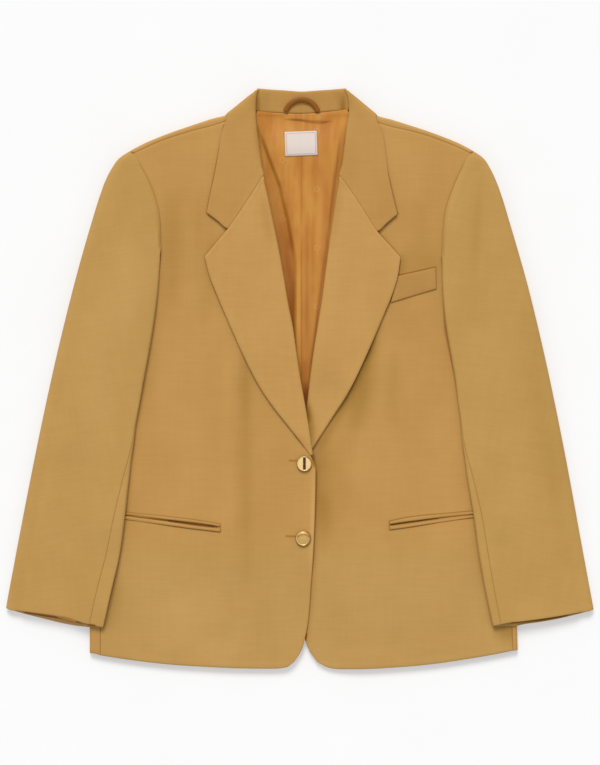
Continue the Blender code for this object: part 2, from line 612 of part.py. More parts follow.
def collar_half(side):
    """Half of the collar's leaf, from the wing's end round the neck to the centre back."""
    inset = COLLAR / 2 + ROLL
    corner = np.array(side["collar_corner"], dtype=float)
    shoulder = np.array(side["collar_outer"][0], dtype=float)
    inward = np.array((-side["sign"] * SLOPE[0], -SLOPE[1]))
    levels = np.linspace(side["gorge"][0][1] + 1.0, corner[1] - 14, WING_ROWS + 1)
    fold = np.column_stack((follow(side["front_edge"], levels) + side["sign"] * inset, levels))
    fold[-1] = corner + (side["sign"] * (inset + 0.5), -SHOULDER_TURN - 3)
    outer = curve(side["collar_outer"][::-1], even(WING_ROWS))
    outer[-1] = shoulder + inward * SHOULDER_TURN
    shares = np.array(COLLAR_COLUMNS)
    gorge = curve(side["gorge"][::-1], (0, 0.5, 1)) + (side["sign"] * 0.25, 0.45)
    end = np.vstack((outer[0], (outer[0] + gorge[0]) / 2, gorge))
    end[-1] = fold[0]
    silhouette = shoulder + (corner - shoulder) * shares[:, None]
    silhouette[-1] = corner + (side["sign"] * inset * 0.7, -inset * 0.7)
    top = silhouette + inward * SHOULDER_TURN
    top[0], top[-1] = outer[-1], fold[-1]
    wing = coons(outer, fold, end, top, shares)
    across = np.broadcast_to(shares[None], wing.shape[:2])
    up = np.broadcast_to(WING_UP * even(WING_ROWS)[::-1, None], wing.shape[:2])
    height = lapel_height(side, wing[..., 0], wing[..., 1], across, up) - (LAPEL - COLLAR) / 2
    wing = with_height(wing, height)
    around = turned(silhouette, np.broadcast_to(inward, silhouette.shape), SHOULDER_TURN,
                    COLLAR / 2, wing[-1, :, 2])
    centre = np.array((CENTRE_BACK, FOLD_TOP))
    low_fold = silhouette[-1] + inward * 1.5
    fall_fold = curve((tuple(low_fold), tuple(centre - (0, inset))), even(FALL_ROWS))
    low_edge = shoulder + inward * SHOULDER_TURN
    bend = centre + (side["sign"] * FALL_BEND[0], FALL_BEND[1] - FALL_DEPTH)
    fall_edge = curve((tuple(low_edge), tuple(bend), tuple(centre - (0, FALL_DEPTH))),
                      even(FALL_ROWS))
    fall = fall_edge[:, None] + (fall_fold - fall_edge)[:, None] * shares[None, :, None]
    around[-1, :, :2] = fall[0]
    fall = with_height(fall, np.full(fall.shape[:2], COLLAR / 2))
    return np.concatenate((wing, around[1:], fall[1:]))


def collar_grid():
    """The whole collar: leaf, rolled fold and, at the back neck, the stand."""
    leaf = np.concatenate((collar_half(RIGHT), collar_half(LEFT)[-2::-1]))
    rows = len(leaf)
    seam = WING_ROWS + len(TURN_ANGLES) - 1
    back = slice(seam, rows - seam)
    feet = curve(STAND_FEET, even(2 * FALL_ROWS))
    toward = leaf[:, -1] - leaf[:, -2]
    toward[back, :2] = leaf[back, -1, :2] - feet
    toward[:, 2] = 0
    toward = toward / np.linalg.norm(toward, axis=1)[:, None]
    for first, last in ((seam - 4, seam), (rows - 1 - seam, rows + 3 - seam)):
        for row in range(first + 1, last):
            share = (row - first) / (last - first)
            mixed = toward[first] * (1 - share) + toward[last] * share
            toward[row] = mixed / np.linalg.norm(mixed)
    down = np.zeros((rows, 3))
    down[:, 2] = -1
    down[back, 2] = 1
    for first, last, side in ((seam - 4, seam, RIGHT), (rows - 1 - seam, rows + 3 - seam, LEFT)):
        for row in range(first + 1, last):
            angle = math.pi * (row - first) / (last - first)
            down[row] = (-side["sign"] * SLOPE[0] * math.sin(angle), -SLOPE[1] * math.sin(angle),
                         down[first, 2] * math.cos(angle))
    rim = leaf[:, -1]
    curl = [rim + toward * ROLL * math.sin(turn) + down * ROLL * (1 - math.cos(turn))
            for turn in CURL_ANGLES]
    over = rim + down * 2 * ROLL
    foot = over.copy()
    foot[back, :2] = feet
    foot[back, 2] = back_height(feet[:, 0], feet[:, 1]) + CLOTH / 2 + LAY_GAP + COLLAR / 2
    extra = np.stack(curl + [over, foot], axis=1)
    grid = np.concatenate((leaf, extra), axis=1)
    cells = np.zeros((rows - 1, grid.shape[1] - 1), dtype=bool)
    cells[:, :leaf.shape[1] + 2] = True
    cells[seam:rows - 1 - seam] = True
    return grid, cells


# --- Lining, trimmings and buttons --------------------------------------------------------

def lining_grid():
    """The back lining that shows in the neck, stepped at its side fold and its centre pleat."""
    levels = np.linspace(LINING_LOW, LINING_TOP, LINING_ROWS + 1)
    reach = np.where(levels < LINING_TOP, LINING_REACH, 0.0)
    left = follow(RIGHT["front_edge"], levels) - reach
    right = follow(LEFT["front_edge"], levels) + reach
    fold = np.interp(levels, *np.array(sorted((y, x) for x, y in LINING_FOLD)).T)
    pleat = np.full(len(levels), CENTRE_BACK)
    lines = np.column_stack((left, fold - 1.5, fold + 1.5, (fold + 2 * pleat) / 3,
                             pleat - PLEAT_HALF, pleat + PLEAT_HALF, (pleat + right) / 2, right))
    lines = np.maximum.accumulate(lines, axis=1) + np.arange(8) * 0.4
    step = FOLD_STEP * smooth((levels - LINING_LOW) / 60) * smooth((LINING_TOP + 1 - levels) / 30)
    open_pleat = PLEAT_STEP * smooth((PLEAT_START - levels) / 120)
    shape = np.array((0, 0, 1, 1, 1, 1, 0.6, 0))[None] * step[:, None]
    shape = shape + np.array((0, 0, 0, 0.5, 1, 0, 0, 0))[None] * open_pleat[:, None]
    plan = np.stack((lines, np.broadcast_to(levels[:, None], lines.shape)), axis=-1)
    ground = back_height(plan[..., 0], plan[..., 1]) + CLOTH / 2 + LAY_GAP + LINING / 2
    return with_height(plan, ground + shape)


def label_grid():
    """The bare label, just above the lining."""
    x = LABEL_CENTRE[0] + LABEL_SIZE[0] * (even(3) - 0.5)
    y = LABEL_CENTRE[1] + LABEL_SIZE[1] * (even(2) - 0.5)
    plan = np.stack(np.meshgrid(x, y), axis=-1)
    ground = back_height(CENTRE_BACK, y) + CLOTH / 2 + LAY_GAP + LINING + FOLD_STEP
    height = ground + LAY_GAP + (LABEL + 0.1) / 2
    return with_height(plan, np.broadcast_to(height[:, None], plan.shape[:2]))


def strip_grid(side, top, bottom, lift):
    """A strip that lies on a front, between two lines given from end to end."""
    plan = np.array([np.array(bottom, dtype=float), np.array(top, dtype=float)])
    height = panel_height(side, plan[..., 0], plan[..., 1]) + CLOTH / 2 + lift
    return with_height(plan, height)


def welt_grid():
    """The breast pocket's welt, with its inner end under the lapel."""
    top = curve(WELT[:2], even(3))
    bottom = curve(WELT[2:], even(3))
    middle = (top + bottom) / 2
    plan = np.array([bottom, middle, top])
    return with_height(plan, panel_height(LEFT, plan[..., 0], plan[..., 1])
                       + CLOTH / 2 + LAY_GAP + TRIM / 2)


def jet_grids(name):
    """The upper and the lower jet of one hip pocket, with the slit between them."""
    side = RIGHT if name == "right" else LEFT
    table = np.array(POCKETS[name], dtype=float)
    x = curve(np.column_stack((table[:, 0], table[:, 1])), even(7))[:, 0]
    order = np.argsort(table[:, 0])
    lines = [np.interp(x, table[order, 0], table[order, column]) for column in (1, 2, 3)]
    upper, slit, lower = [np.column_stack((x, line)) for line in lines]
    gape = np.column_stack((np.zeros(len(x)), np.full(len(x), SLIT)))
    lift = JET_GAP + TRIM / 2
    return (strip_grid(side, upper, slit + gape, lift),
            strip_grid(side, slit - gape, lower, lift))


# --- Making the meshes --------------------------------------------------------------------

def cell_corners(rows, columns):
    return ((rows, columns), (rows, columns + 1), (rows + 1, columns + 1), (rows + 1, columns))


def grid_normals(grid, cells):
    """A normal for each point of a grid, from the cells that are there."""
    normals = np.zeros_like(grid)
    for row, column in np.argwhere(cells):
        corners = cell_corners(row, column)
        a, b, c, d = [grid[place] for place in corners]
        across = np.cross(c - a, d - b)
        for place in corners:
            normals[place] += across
    return normals


def used_points(cells):
    used = np.zeros((cells.shape[0] + 1, cells.shape[1] + 1), dtype=int)
    for row, column in np.argwhere(cells):
        for place in cell_corners(row, column):
            used[place] += 1
    return used


def draw_back(grid, cells):
    """Move each outline point half a seam gap into its own piece."""
    moved = grid.copy()
    padded = np.pad(cells, 1)
    used = used_points(cells)
    for row, column in np.argwhere((used > 0) & (used < 3)):
        around = padded[row:row + 2, column:column + 2]
        for axis, first, second in ((0, around[0].any(), around[1].any()),
                                    (1, around[:, 0].any(), around[:, 1].any())):
            if first == second:
                continue
            step = -1 if first else 1
            near = (row + step, column) if axis == 0 else (row, column + step)
            along = grid[near] - grid[row, column]
            moved[row, column] += along / max(np.linalg.norm(along), 1e-6) * SEAM_GAP / 2
    return moved


def meet_normals(sheets):
    """Give pieces that share seam points one normal there, so that their edges stay parallel."""
    shared = {}
    for sheet in sheets.values():
        normals = grid_normals(sheet["grid"], sheet["cells"])
        length = np.linalg.norm(normals, axis=-1, keepdims=True)
        sheet["normals"] = normals / np.maximum(length, 1e-12)
        sheet["used"] = used_points(sheet["cells"])
        for place in np.argwhere((sheet["used"] > 0) & (sheet["used"] < 4)):
            key = tuple(np.round(sheet["grid"][tuple(place)] * 20).astype(int))
            shared.setdefault(key, []).append((sheet, tuple(place)))
    for members in shared.values():
        if len(members) < 2:
            continue
        total = sum(sheet["normals"][place] * np.sign(sheet["normals"][place]
                    @ members[0][0]["normals"][members[0][1]]) for sheet, place in members)
        total = total / np.linalg.norm(total)
        for sheet, place in members:
            facing = np.sign(sheet["normals"][place] @ total)
            sheet["normals"][place] = total * facing


def cloth_mesh(name, sheet, wall):
    """The closed wall of a grid: both faces and the edges round them."""
    grid = draw_back(sheet["grid"], sheet["cells"])
    half = sheet["normals"] * wall / 2
    numbers = -np.ones(sheet["used"].shape, dtype=int)
    places = np.argwhere(sheet["used"] > 0)
    for number, place in enumerate(places):
        numbers[tuple(place)] = number
    count = len(places)
    points = [grid[tuple(place)] + half[tuple(place)] for place in places]
    points += [grid[tuple(place)] - half[tuple(place)] for place in places]
    faces = []
    edges = {}
    for row, column in np.argwhere(sheet["cells"]):
        a, b, c, d = [int(numbers[place]) for place in cell_corners(row, column)]
        for triangle in ((a, b, c), (a, c, d)):
            faces.append(triangle)
            faces.append(tuple(number + count for number in triangle[::-1]))
        for start, end in ((a, b), (b, c), (c, d), (d, a)):
            if (end, start) in edges:
                del edges[(end, start)]
            else:
                edges[(start, end)] = True
    for start, end in edges:
        faces.extend(rim_faces(points, start, end, count))
    return make_object(name, points, faces)


def rim_faces(points, start, end, count):
    """Two triangles of an edge, split the same way on both of the pieces that meet there."""
    corners = (start, start + count, end + count, end)
    order = [tuple(np.round(points[corner], 1)) for corner in corners]
    high = max(range(4), key=lambda place: (order[place][2], order[place][0], order[place][1]))
    first = corners[high:] + corners[:high]
    return (first[0], first[1], first[2]), (first[0], first[2], first[3])


def make_object(name, points, faces):
    mesh = bpy.data.meshes.new(name)
    placed = [(x * MM, (y + SHIFT) * MM, z * MM) for x, y, z in np.array(points, dtype=float)]
    mesh.from_pydata([tuple(map(float, point)) for point in placed], [], faces)
    mesh.update()
    made = bpy.data.objects.new(name, mesh)
    bpy.context.scene.collection.objects.link(made)
    return made


def finish(name, colour, roughness, metallic=0.0):
    material = bpy.data.materials.new(name)
    material.use_nodes = True
    shader = material.node_tree.nodes["Principled BSDF"]
    shader.inputs["Base Color"].default_value = (*colour, 1.0)
    shader.inputs["Roughness"].default_value = roughness
    shader.inputs["Metallic"].default_value = metallic
    return material


def ring_mesh(name, rings):
    """A closed body through rings of points, its first and last ring capped."""
    count = len(rings[0])
    points = [point for ring in rings for point in ring]
    faces = []
    for level in range(len(rings) - 1):
        for place in range(count):
            a = level * count + place
            b = level * count + (place + 1) % count
            faces.append((a, b, b + count, a + count))
    faces.append(tuple(range(count))[::-1])
    last = (len(rings) - 1) * count
    faces.append(tuple(range(last, last + count)))
    return make_object(name, points, faces)


def hanger_loop():
    """A satin tube, flattened a little, bowed from seam to seam in front of the stand."""
    ground = COLLAR + 2 * ROLL + 2 * LAY_GAP
    rings = []
    for share in even(LOOP_STEPS):
        angle = math.pi * (1 - share)
        centre = np.array((CENTRE_BACK + LOOP_WIDTH / 2 * math.cos(angle),
                           LOOP_FOOT + LOOP_RISE * math.sin(angle) ** 0.8,
                           ground + LOOP_TUBE[1] / 2 + LOOP_BOW * math.sin(angle)))
        outward = np.array((math.cos(angle), math.sin(angle) * 1.3, 0))
        outward = outward / np.linalg.norm(outward)
        ring = []
        for turn in 2 * math.pi * np.arange(TUBE_STEPS) / TUBE_STEPS:
            ring.append(centre + outward * LOOP_TUBE[0] / 2 * math.cos(turn)
                        + np.array((0, 0, 1)) * LOOP_TUBE[1] / 2 * math.sin(turn))
        rings.append(ring)
    return ring_mesh("hanger_loop", rings)


def circle(x, y, z, radius, steps):
    turns = 2 * math.pi * np.arange(steps) / steps
    return [(x + radius * math.cos(turn), y + radius * math.sin(turn), z) for turn in turns]


def button(name):
    """A rimmed metal button whose shank goes through the right front to the left one."""
    x, y = BUTTON_CENTRES[name]
    seat = float(panel_height(RIGHT, x, y)) + CLOTH / 2 + LAY_GAP + BUTTON_ROOM
    foot = float(panel_height(LEFT, x, y)) + CLOTH / 2 + LAY_GAP
    rings = [circle(x, y, foot if height is None else seat + height, radius, BUTTON_STEPS)
             for radius, height in BUTTON_PROFILE]
    made = ring_mesh(name, rings)
    made.data.shade_smooth()
    made.data.set_sharp_from_angle(angle=math.radians(40))
    return made


def pierce(front):
    """Cut the holes that the shanks go through."""
    for name, (x, y) in BUTTON_CENTRES.items():
        level = float(front_height(x, y))
        rings = [circle(x, y, level + reach, SHANK_HOLE, HOLE_STEPS)
                 for reach in (-HOLE_REACH, HOLE_REACH)]
        cutter = ring_mesh(name + "_hole", rings)
        cutter.hide_render = True
        cutter.display_type = "WIRE"
        hole = front.modifiers.new(name + "_hole", "BOOLEAN")
        hole.operation = "DIFFERENCE"
        hole.solver = "EXACT"
        hole.object = cutter


def plan_sheets():
    """All the cloth pieces: name, grid, cells, wall and material."""
    plans = []

    def add(name, grid, wall, kind, cells=None):
        if cells is None:
            cells = np.ones((grid.shape[0] - 1, grid.shape[1] - 1), dtype=bool)
        plans.append((name, grid, cells, wall, kind))

    for side, end in ((RIGHT, "right"), (LEFT, "left")):
        back, back_cells = back_grid(side)
        add("back_" + end, back, CLOTH, "cloth", back_cells)
        add("front_" + end, front_grid(side), CLOTH, "cloth")
        top, top_cells = top_sleeve_grid(side)
        add("top_sleeve_" + end, top, CLOTH, "cloth", top_cells)
        under, under_cells = under_sleeve_grid(side)
        add("under_sleeve_" + end, under, CLOTH, "cloth", under_cells)
        add("lapel_" + end, lapel_grid(side), LAPEL, "cloth")
        upper, lower = jet_grids(end)
        add("jet_upper_" + end, upper, TRIM, "cloth")
        add("jet_lower_" + end, lower, TRIM, "cloth")
    collar, collar_cells = collar_grid()
    add("collar", collar, COLLAR, "cloth", collar_cells)
    add("breast_welt", welt_grid(), TRIM, "cloth")
    add("back_lining", lining_grid(), LINING, "lining")
    add("sleeve_lining_right", sleeve_lining_grid(), LINING, "lining")
    add("label", label_grid(), LABEL, "label")
    return plans


def main():
    for old in list(bpy.data.objects):
        bpy.data.objects.remove(old, do_unlink=True)
    looks = {
        "cloth": ((0.50, 0.29, 0.09), 0.85), "lining": ((0.50, 0.22, 0.05), 0.40),
        "label": ((0.80, 0.76, 0.70), 0.70),
    }
    plans = plan_sheets()
    sheets = {name: {"grid": grid, "cells": cells} for name, grid, cells, _, _ in plans}
    meet_normals(sheets)
    for name, _, _, wall, kind in plans:
        made = cloth_mesh(name, sheets[name], wall)
        made.data.materials.append(finish(name + "_" + kind, *looks[kind]))
        if name == "front_right":
            pierce(made)
    loop = hanger_loop()
    loop.data.materials.append(finish("hanger_loop_satin", (0.46, 0.20, 0.04), 0.35))
    loop.data.shade_smooth()
    for name in BUTTON_CENTRES:
        button(name).data.materials.append(finish(name + "_brass", (0.75, 0.50, 0.17), 0.25, 1.0))


main()
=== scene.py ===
"""The looks of the two-button blazer that lies flat, front up.

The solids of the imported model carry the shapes. Each piece of cloth here is a fine shell on the
form of its solid, worked out from the same sizes, in millimetres. X runs to the viewer's right,
Y towards the collar and Z up from the surface. Right and left are the wearer's.
"""
import math

import bmesh
import bpy
import numpy as np
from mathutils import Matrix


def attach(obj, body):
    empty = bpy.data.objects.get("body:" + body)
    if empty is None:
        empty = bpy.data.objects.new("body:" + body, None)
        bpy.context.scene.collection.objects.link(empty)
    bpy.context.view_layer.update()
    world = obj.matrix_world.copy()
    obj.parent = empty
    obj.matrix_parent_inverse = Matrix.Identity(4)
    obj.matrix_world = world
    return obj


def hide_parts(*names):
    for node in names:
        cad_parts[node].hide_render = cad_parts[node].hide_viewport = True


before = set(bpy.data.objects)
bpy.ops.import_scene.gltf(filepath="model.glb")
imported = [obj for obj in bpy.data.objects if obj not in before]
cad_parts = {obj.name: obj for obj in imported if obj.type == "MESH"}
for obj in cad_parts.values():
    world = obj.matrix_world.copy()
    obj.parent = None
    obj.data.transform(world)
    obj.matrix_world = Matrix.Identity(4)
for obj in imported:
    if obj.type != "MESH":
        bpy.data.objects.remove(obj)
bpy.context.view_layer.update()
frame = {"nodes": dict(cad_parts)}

MM = 0.001
# How far the tables' origin lies from the middle of the garment's length
SHIFT = 0.145

# Walls and clearances
CLOTH = 1.5
LAPEL = 2.4
COLLAR = 2.0
LINING = 1.0
TRIM = 1.2
SEAM_GAP = 0.1
LAY_GAP = 0.35

# Folds: how far in from the outline each one has turned flat
SIDE_TURN = 4.0
SHOULDER_TURN = 3.6
SLEEVE_TURN = 8.0
INNER_TURN = 3.0
INNER_ARC = 4.5
ROLL = 2.0
ROLL_ROOM = 1.0

CENTRE_BACK = 3.0
UNDERARM = 51.0
# The collar's fall: its depth, how far below its edge the back starts to rise under it and over
# what length, and half the width of that rise with how softly it ends
FALL_DEPTH = 50.0
FALL_RAMP = 66.0
FALL_RISE = 44.0
FALL_HALF = 138.0
FALL_FADE = 30.0

# Mid-height of the fronts: level, at the middle, at the sides
FRONT_HEIGHT = (
    (-377, 8.4, 8.0), (-235, 10.2, 8.2), (-92, 12.8, 8.8), (51, 15.2, 9.8),
    (168, 17.5, 14.5), (233, 17.8, 17.0), (295, 16.5, 19.5), (365, 12.5, 18.0),
)
# Soft folds of the fronts: x, lowest level, highest level, half width, height
FRONT_FOLDS = (
    (-65, -300, 43, 15, -1.8), (-93, -290, 40, 12, 1.0), (-135, 60, 210, 16, 0.8),
    (62, -130, 0, 15, -1.8), (90, -200, 30, 14, 1.2), (140, 40, 150, 18, 0.7),
)
# How softly those folds end, and the reach from the centre back to a front's side
FOLD_FADES = (40, 40)
FRONT_HALF = 250
# How far the left front sinks below the right one: level, depth
LEFT_SINK = ((-377, 2.1), (-160, 2.1), (-112, 5.2), (-30, 5.2), (25, 0.0), (365, 0.0))
# Where across the left front that ends, and how softly
SINK_EDGE = 78
SINK_FADE = 44
# Lift of the sleeves' under layer over the fronts: level, lift
SLEEVE_LIFT = ((-330, 2.1), (-225, 2.2), (-195, 4.0), (-165, 4.0), (-130, 2.2), (170, 2.1))
# Opening between a sleeve's layers at its inner fold: level, height
SLEEVE_INNER = ((-325, 5.6), (-120, 6.6), (60, 6.0), (140, 3.4), (168, 2.2))
# Mid-height of a sleeve's top layer beside its outer fold: level, height
SLEEVE_OUTER = ((-300, 9.0), (-150, 12.5), (0, 16.5), (107, 19.5), (200, 21.0), (295, 19.7))

# Shares of a front's width, from its side to its front edge
FRONT_COLUMNS = (0, 0.12, 0.25, 0.38, 0.50, 0.61, 0.69, 0.77, 0.87, 0.95, 1)
# Levels of the points on a front's edge, between the hem and the neck
EDGE_LEVELS = (-352, -336, -262, -190, -118, -97, -30, 30, 80, 120, 155, 195, 235, 275, 312)
ARMHOLE_SEEN = (0, 0.03, 0.06, 0.25, 0.45, 0.64, 0.83, 1)
SHOULDER_SEEN = (0, 0.06, 0.53, 1)
SIDE_ROWS = 6
HIDDEN_ROWS = 3
CUFF_ROWS = 8
CAP_ROWS = 8
NECK_COLUMNS = 2
LAPEL_ROWS = 11
LAPEL_COLUMNS = (0, 0.17, 0.33, 0.56, 0.78, 0.985)
WING_ROWS = 5
FALL_ROWS = 3
COLLAR_COLUMNS = (0, 0.2, 0.38, 0.72, 1)
TURN_ANGLES = np.radians((90, 45, 0, -45, -90))
CURL_ANGLES = np.radians((45, 90, 135))
# The collar's row at the shoulder seam, where its wing has gone round the fold
SHOULDER_ROW = WING_ROWS + len(TURN_ANGLES) - 1

# Sleeves: levels of the outer fold's points above its straight part, the hind seam's distance
# from the outer fold, the reach of the top's face past that fold, how much the face crowns, and
# how much it rises beside the fold
STRAIGHT_TOP = 75.0
CAP_LEVELS = (125, 168, 205, 236, 258, 274, 286, 296)
HIND_REACH = 24.0
FACE_REACH = 10.0
CROWN = 1.6
FACE_RISE = 0.8
# Least steps between neighbours: at the top of the inner fold, along the cuff and, above the
# underarm, between an under sleeve's turn and the armhole
CAP_STEP = 5
CUFF_STEP = 6
OVER_STEP = 3
# The top sleeve's first columns: how far each lies past the forearm seam
SEAM_STEPS = (0, 4, 8)
# Where an under sleeve climbs the body's side: reach from the side's edge, out to in
RAMP = (-10.0, -3.2, 2.0)
UNDERARM_RAMP = (-0.2, -2.1, 1.8)
RAMP_MIDDLE = 0.45
RAMP_ROOM = 0.3
TURN_IN = -9.0
# Cuff: height over which the lower layer droops out from under the upper one
DROOP_TOP = 15.0
DROOP_SPAN = 4.5
# The sleeve lining's low edge and how far it runs up the sleeve
SLEEVE_LINING = ((-326, -305.5), (-307, -312.5), (-291, -316.5))
SLEEVE_LINING_RUN = (6.0, 26.0)

# Lapel: lift towards its outer edge, swell beside the roll and how far up each one grows in
LAPEL_LIFT = 1.9
LAPEL_SWELL = 1.3
LIFT_GROWTH = 0.3
SWELL_GROWTH = 0.35
SWELL_AT = 0.16
SWELL_HALF = 0.14
WING_UP = 0.3
# How steeply the lift grows outwards, the gorge's points along the lapel's top, the share of the
# roll that its turn makes, and how far the lapel's end sinks at least below the roll
LIFT_STEEP = 1.6
GORGE_SHARES = (0, 0.35, 0.69)
TURN_SHARE = 0.3
LAPEL_TUCK = 0.6

# Collar: its fold at the centre back, its outline's slope at the shoulders and its foot
FOLD_TOP = 374.2
SLOPE = (0.5, 0.86)
FALL_BEND = (50.0, 4.0)
# How far below its corner the wing's fold ends, and the gap along the gorge
WING_TOP = 14
GORGE_GAP = (0.25, 0.45)
STAND_FEET = ((-54, 348.4), (CENTRE_BACK, 345.8), (63, 350.9))

RIGHT = {
    "sign": -1,
    "side_edge": ((-357, -273), (-324, -273), (-100, -264), (51, -252)),
    "side_wrap": 14.0,
    "shoulder_edge": ((-64, 358), (-96, 343), (-112, 338.8), (-142, 329), (-173, 318.1),
                      (-204, 305.2), (-220, 296.6)),
    "shoulder_seam": ((-61.4, 349), (-101.5, 332.8), (-140, 322), (-180, 309), (-216, 292.5)),
    "armhole_seen": ((-180, 168), (-181, 205), (-188, 238), (-203, 271), (-216, 292.5)),
    "armhole_hidden": ((-238, 51), (-222, 66), (-202, 96), (-186, 132), (-180, 168)),
    "armhole_back": ((-248, 51), (-222, 80), (-203, 118), (-194, 160), (-192, 205),
                     (-197, 245), (-207, 272), (-215, 289)),
    "front_edge": ((-368, -7.2), (-361, -1.3), (-351, 3.2), (-342, 6.3), (-280, 14), (-216, 18),
                   (-152, 21), (-118, 21), (-99, 18), (-65, 13), (-35, 8), (17, -1), (61, -7),
                   (91, -13), (150, -23), (238, -41), (264, -47), (292, -50), (333, -55),
                   (349, -56)),
    "corner_rise": 2.6,
    "hem": ((-259, -359.2), (-230, -363.9), (-199, -368.1), (-157, -372.2), (-120, -374.3),
            (-84, -376.1), (-28, -376.6), (-16, -374.3), (-7.2, -368)),
    "back_hem": ((3, -328), (-100, -340), (-200, -350), (-269, -356)),
    "outer": ((-298, -382.1), (-197, -363.1), (-119, -347.8), (-41, -331.7), (37, -314.3),
              (115, -295), (154, -284.6), (193, -273.3), (232, -261.5), (251, -254.8),
              (265, -249.2), (276, -242.6), (284, -237), (291, -229.8), (296.6, -220)),
    "inner": ((-323, -254), (-274, -243), (-235, -234), (-174, -226), (-88, -216), (-1, -202),
              (12, -199.3), (57, -191.4), (73, -188.9), (103, -185), (122, -183.2), (140, -181.8),
              (168, -180)),
    "forearm": ((-323, 21), (-274, 21), (-196, 17), (-156, 13), (-118, 8), (-75, 2),
                (-30, -2), (20, -4), (168, -4)),
    "hind_top": ((-262, 118), (-240, 160), (-216, 196)),
    "cuff": ((-254, -323), (-272, -318), (-307, -309), (-359, -302), (-382, -298)),
    "cuff_under": ((-254, -323.2), (-268, -322.9), (-280, -322.6), (-296, -320.8),
                   (-312, -317.3), (-328, -313.4), (-346, -309), (-360, -305.5),
                   (-374, -301.1), (-382, -298)),
    "lapel_outer": ((-123, 159), (-110, 116), (-57, -1), (-11, -66), (4, -84), (14, -99)),
    "lapel_foot": -99,
    "roll_starts": (-111, -97),
    "gorge": ((-47, 264), (-64, 237), (-93, 195)),
    "collar_outer": ((-96, 343.8), (-103, 309), (-107, 280), (-114, 248), (-120.3, 216)),
    "collar_corner": (-53.2, 378.4),
}
LEFT = {
    "sign": 1,
    "side_edge": ((-353, 284), (-318, 283), (-100, 272), (51, 257)),
    "side_wrap": 6.5,
    "shoulder_edge": ((70, 358), (101, 342.5), (113, 339.2), (144, 329.6), (175, 319.2),
                      (207, 306.4), (226, 296.4)),
    "shoulder_seam": ((67.4, 349), (106.7, 331.5), (159.8, 317.9), (199.6, 303.3), (222.5, 292.6)),
    "armhole_seen": ((185, 158), (186, 190), (190, 220), (205, 262), (222.5, 292.6)),
    "armhole_hidden": ((250, 51), (226, 66), (206, 96), (191, 130), (185, 158)),
    "armhole_back": ((253, 51), (228, 80), (209, 118), (200, 160), (198, 205),
                     (203, 245), (213, 272), (221, 289)),
    "front_edge": ((-368, 23.2), (-360, 17.0), (-351, 11.7), (-342, 7.7), (-334, 6.4),
                   (-280, 3), (-230, -2), (-190, -5), (-152, -6), (-118, -5), (-99, -2),
                   (-65, 4), (-34, 9), (17, 15), (57, 21),
                   (91, 27), (129, 32), (189, 40), (235, 47), (264, 52), (283, 55), (324, 60),
                   (349, 64)),
    "corner_rise": 0.0,
    "hem": ((281, -353), (246, -359.5), (207, -365.8), (168, -371.4), (129, -374.7),
            (90, -377), (50, -377.4), (37, -375.4), (23.2, -368)),
    "back_hem": ((3, -328), (100, -340), (200, -349), (280, -352)),
    "outer": ((-300, 382.8), (-197, 363.7), (-119, 349.4), (-41, 334), (37, 317.2), (115, 298.4),
              (154, 287.8), (193, 276.2), (232, 264.7), (251, 258.1), (265, 252.4), (276, 246.6),
              (284, 241.5), (291, 235.3), (296.4, 226)),
    "inner": ((-321, 251), (-274, 241), (-235, 234), (-172, 225), (-118, 216), (-1, 202),
              (64, 190.8), (77, 189), (124, 185.4), (158, 185)),
    "forearm": ((-321, 12.5), (-235, 13.5), (-174, 12), (-118, 8), (-75, 2),
                (-30, -2), (20, -4), (168, -4)),
    "hind_top": ((266, 118), (245, 160), (221, 196)),
    "cuff": ((251, -321), (274, -318), (304, -313), (344, -307), (382, -300)),
    "cuff_under": ((251, -321.6), (266, -321.6), (283, -321.0), (293, -319.2), (308, -317.2),
                   (324, -314.8), (339, -311.8), (355, -307.9), (370, -304.2), (382, -300)),
    "lapel_outer": ((131, 158), (128, 136), (118, 104), (72, -1), (40, -54), (17, -90)),
    "lapel_foot": -92,
    "roll_starts": (-135, -105),
    "gorge": ((52, 264), (72, 236), (100.8, 191.6)),
    "collar_outer": ((101, 343.4), (109.5, 309), (115, 266), (120.4, 240), (126.8, 213.6)),
    "collar_corner": (59, 378.4),
}

# The lining: its side fold's edge as x and y, its low end, its reach under the fronts, the
# height of its main part over the valley beside the fold, and how far it dips under the left one
LINING_FOLD = ((-54, 330), (-43.5, 299), (-34, 274), (-25, 250), (-21.5, 232), (-15.5, 209),
               (-11, 185), (-6.8, 162), (-5.9, 146), (-5.9, 102.7), (-6.8, 63.7), (-6.8, -45))
LINING_LOW = -45.0
LINING_REACH = 22.0
REACH_TOP = 343.0
REACH_FADE = 14.0
LINING_RISE = 4.6
LINING_ENDS = (338, 90, 42)
LINING_UNDER = 9.0
FOLD_HALF = 3.2
# Where the pleat rises, drops and levels out, and the shares of its rise by which it does so
PLEAT = (-6.0, 1.0, 3.0, 10.0)
PLEAT_SHARES = (1.0, -1.4, 0.4)
PLEAT_RISE = 1.3
PLEAT_START = 196.0
# The centre seam: its place and half width, how it sinks and from which level up
SEAM = (2.6, 0.9)
SEAM_SINK = -0.7
SEAM_START = 180.0
# The lining's columns: marks beside the pleat, steps from mark to mark and the least step
PLEAT_MARKS = (-6.4, 0.6, 3.4, 10.4)
LINING_STEPS = (10, 6, 18, 4, 4, 4, 24)
LEAST_STEP = 0.15
# Its rows: first level, end and step; how they bend to the neckline, and its gap to the collar
LINING_LEVELS = ((LINING_LOW, 318, 3.2), (318, 344.5, 1.2))
NECKLINE_START = 310.0
NECKLINE_SPAN = 34.0
FEET_GAP = 0.4
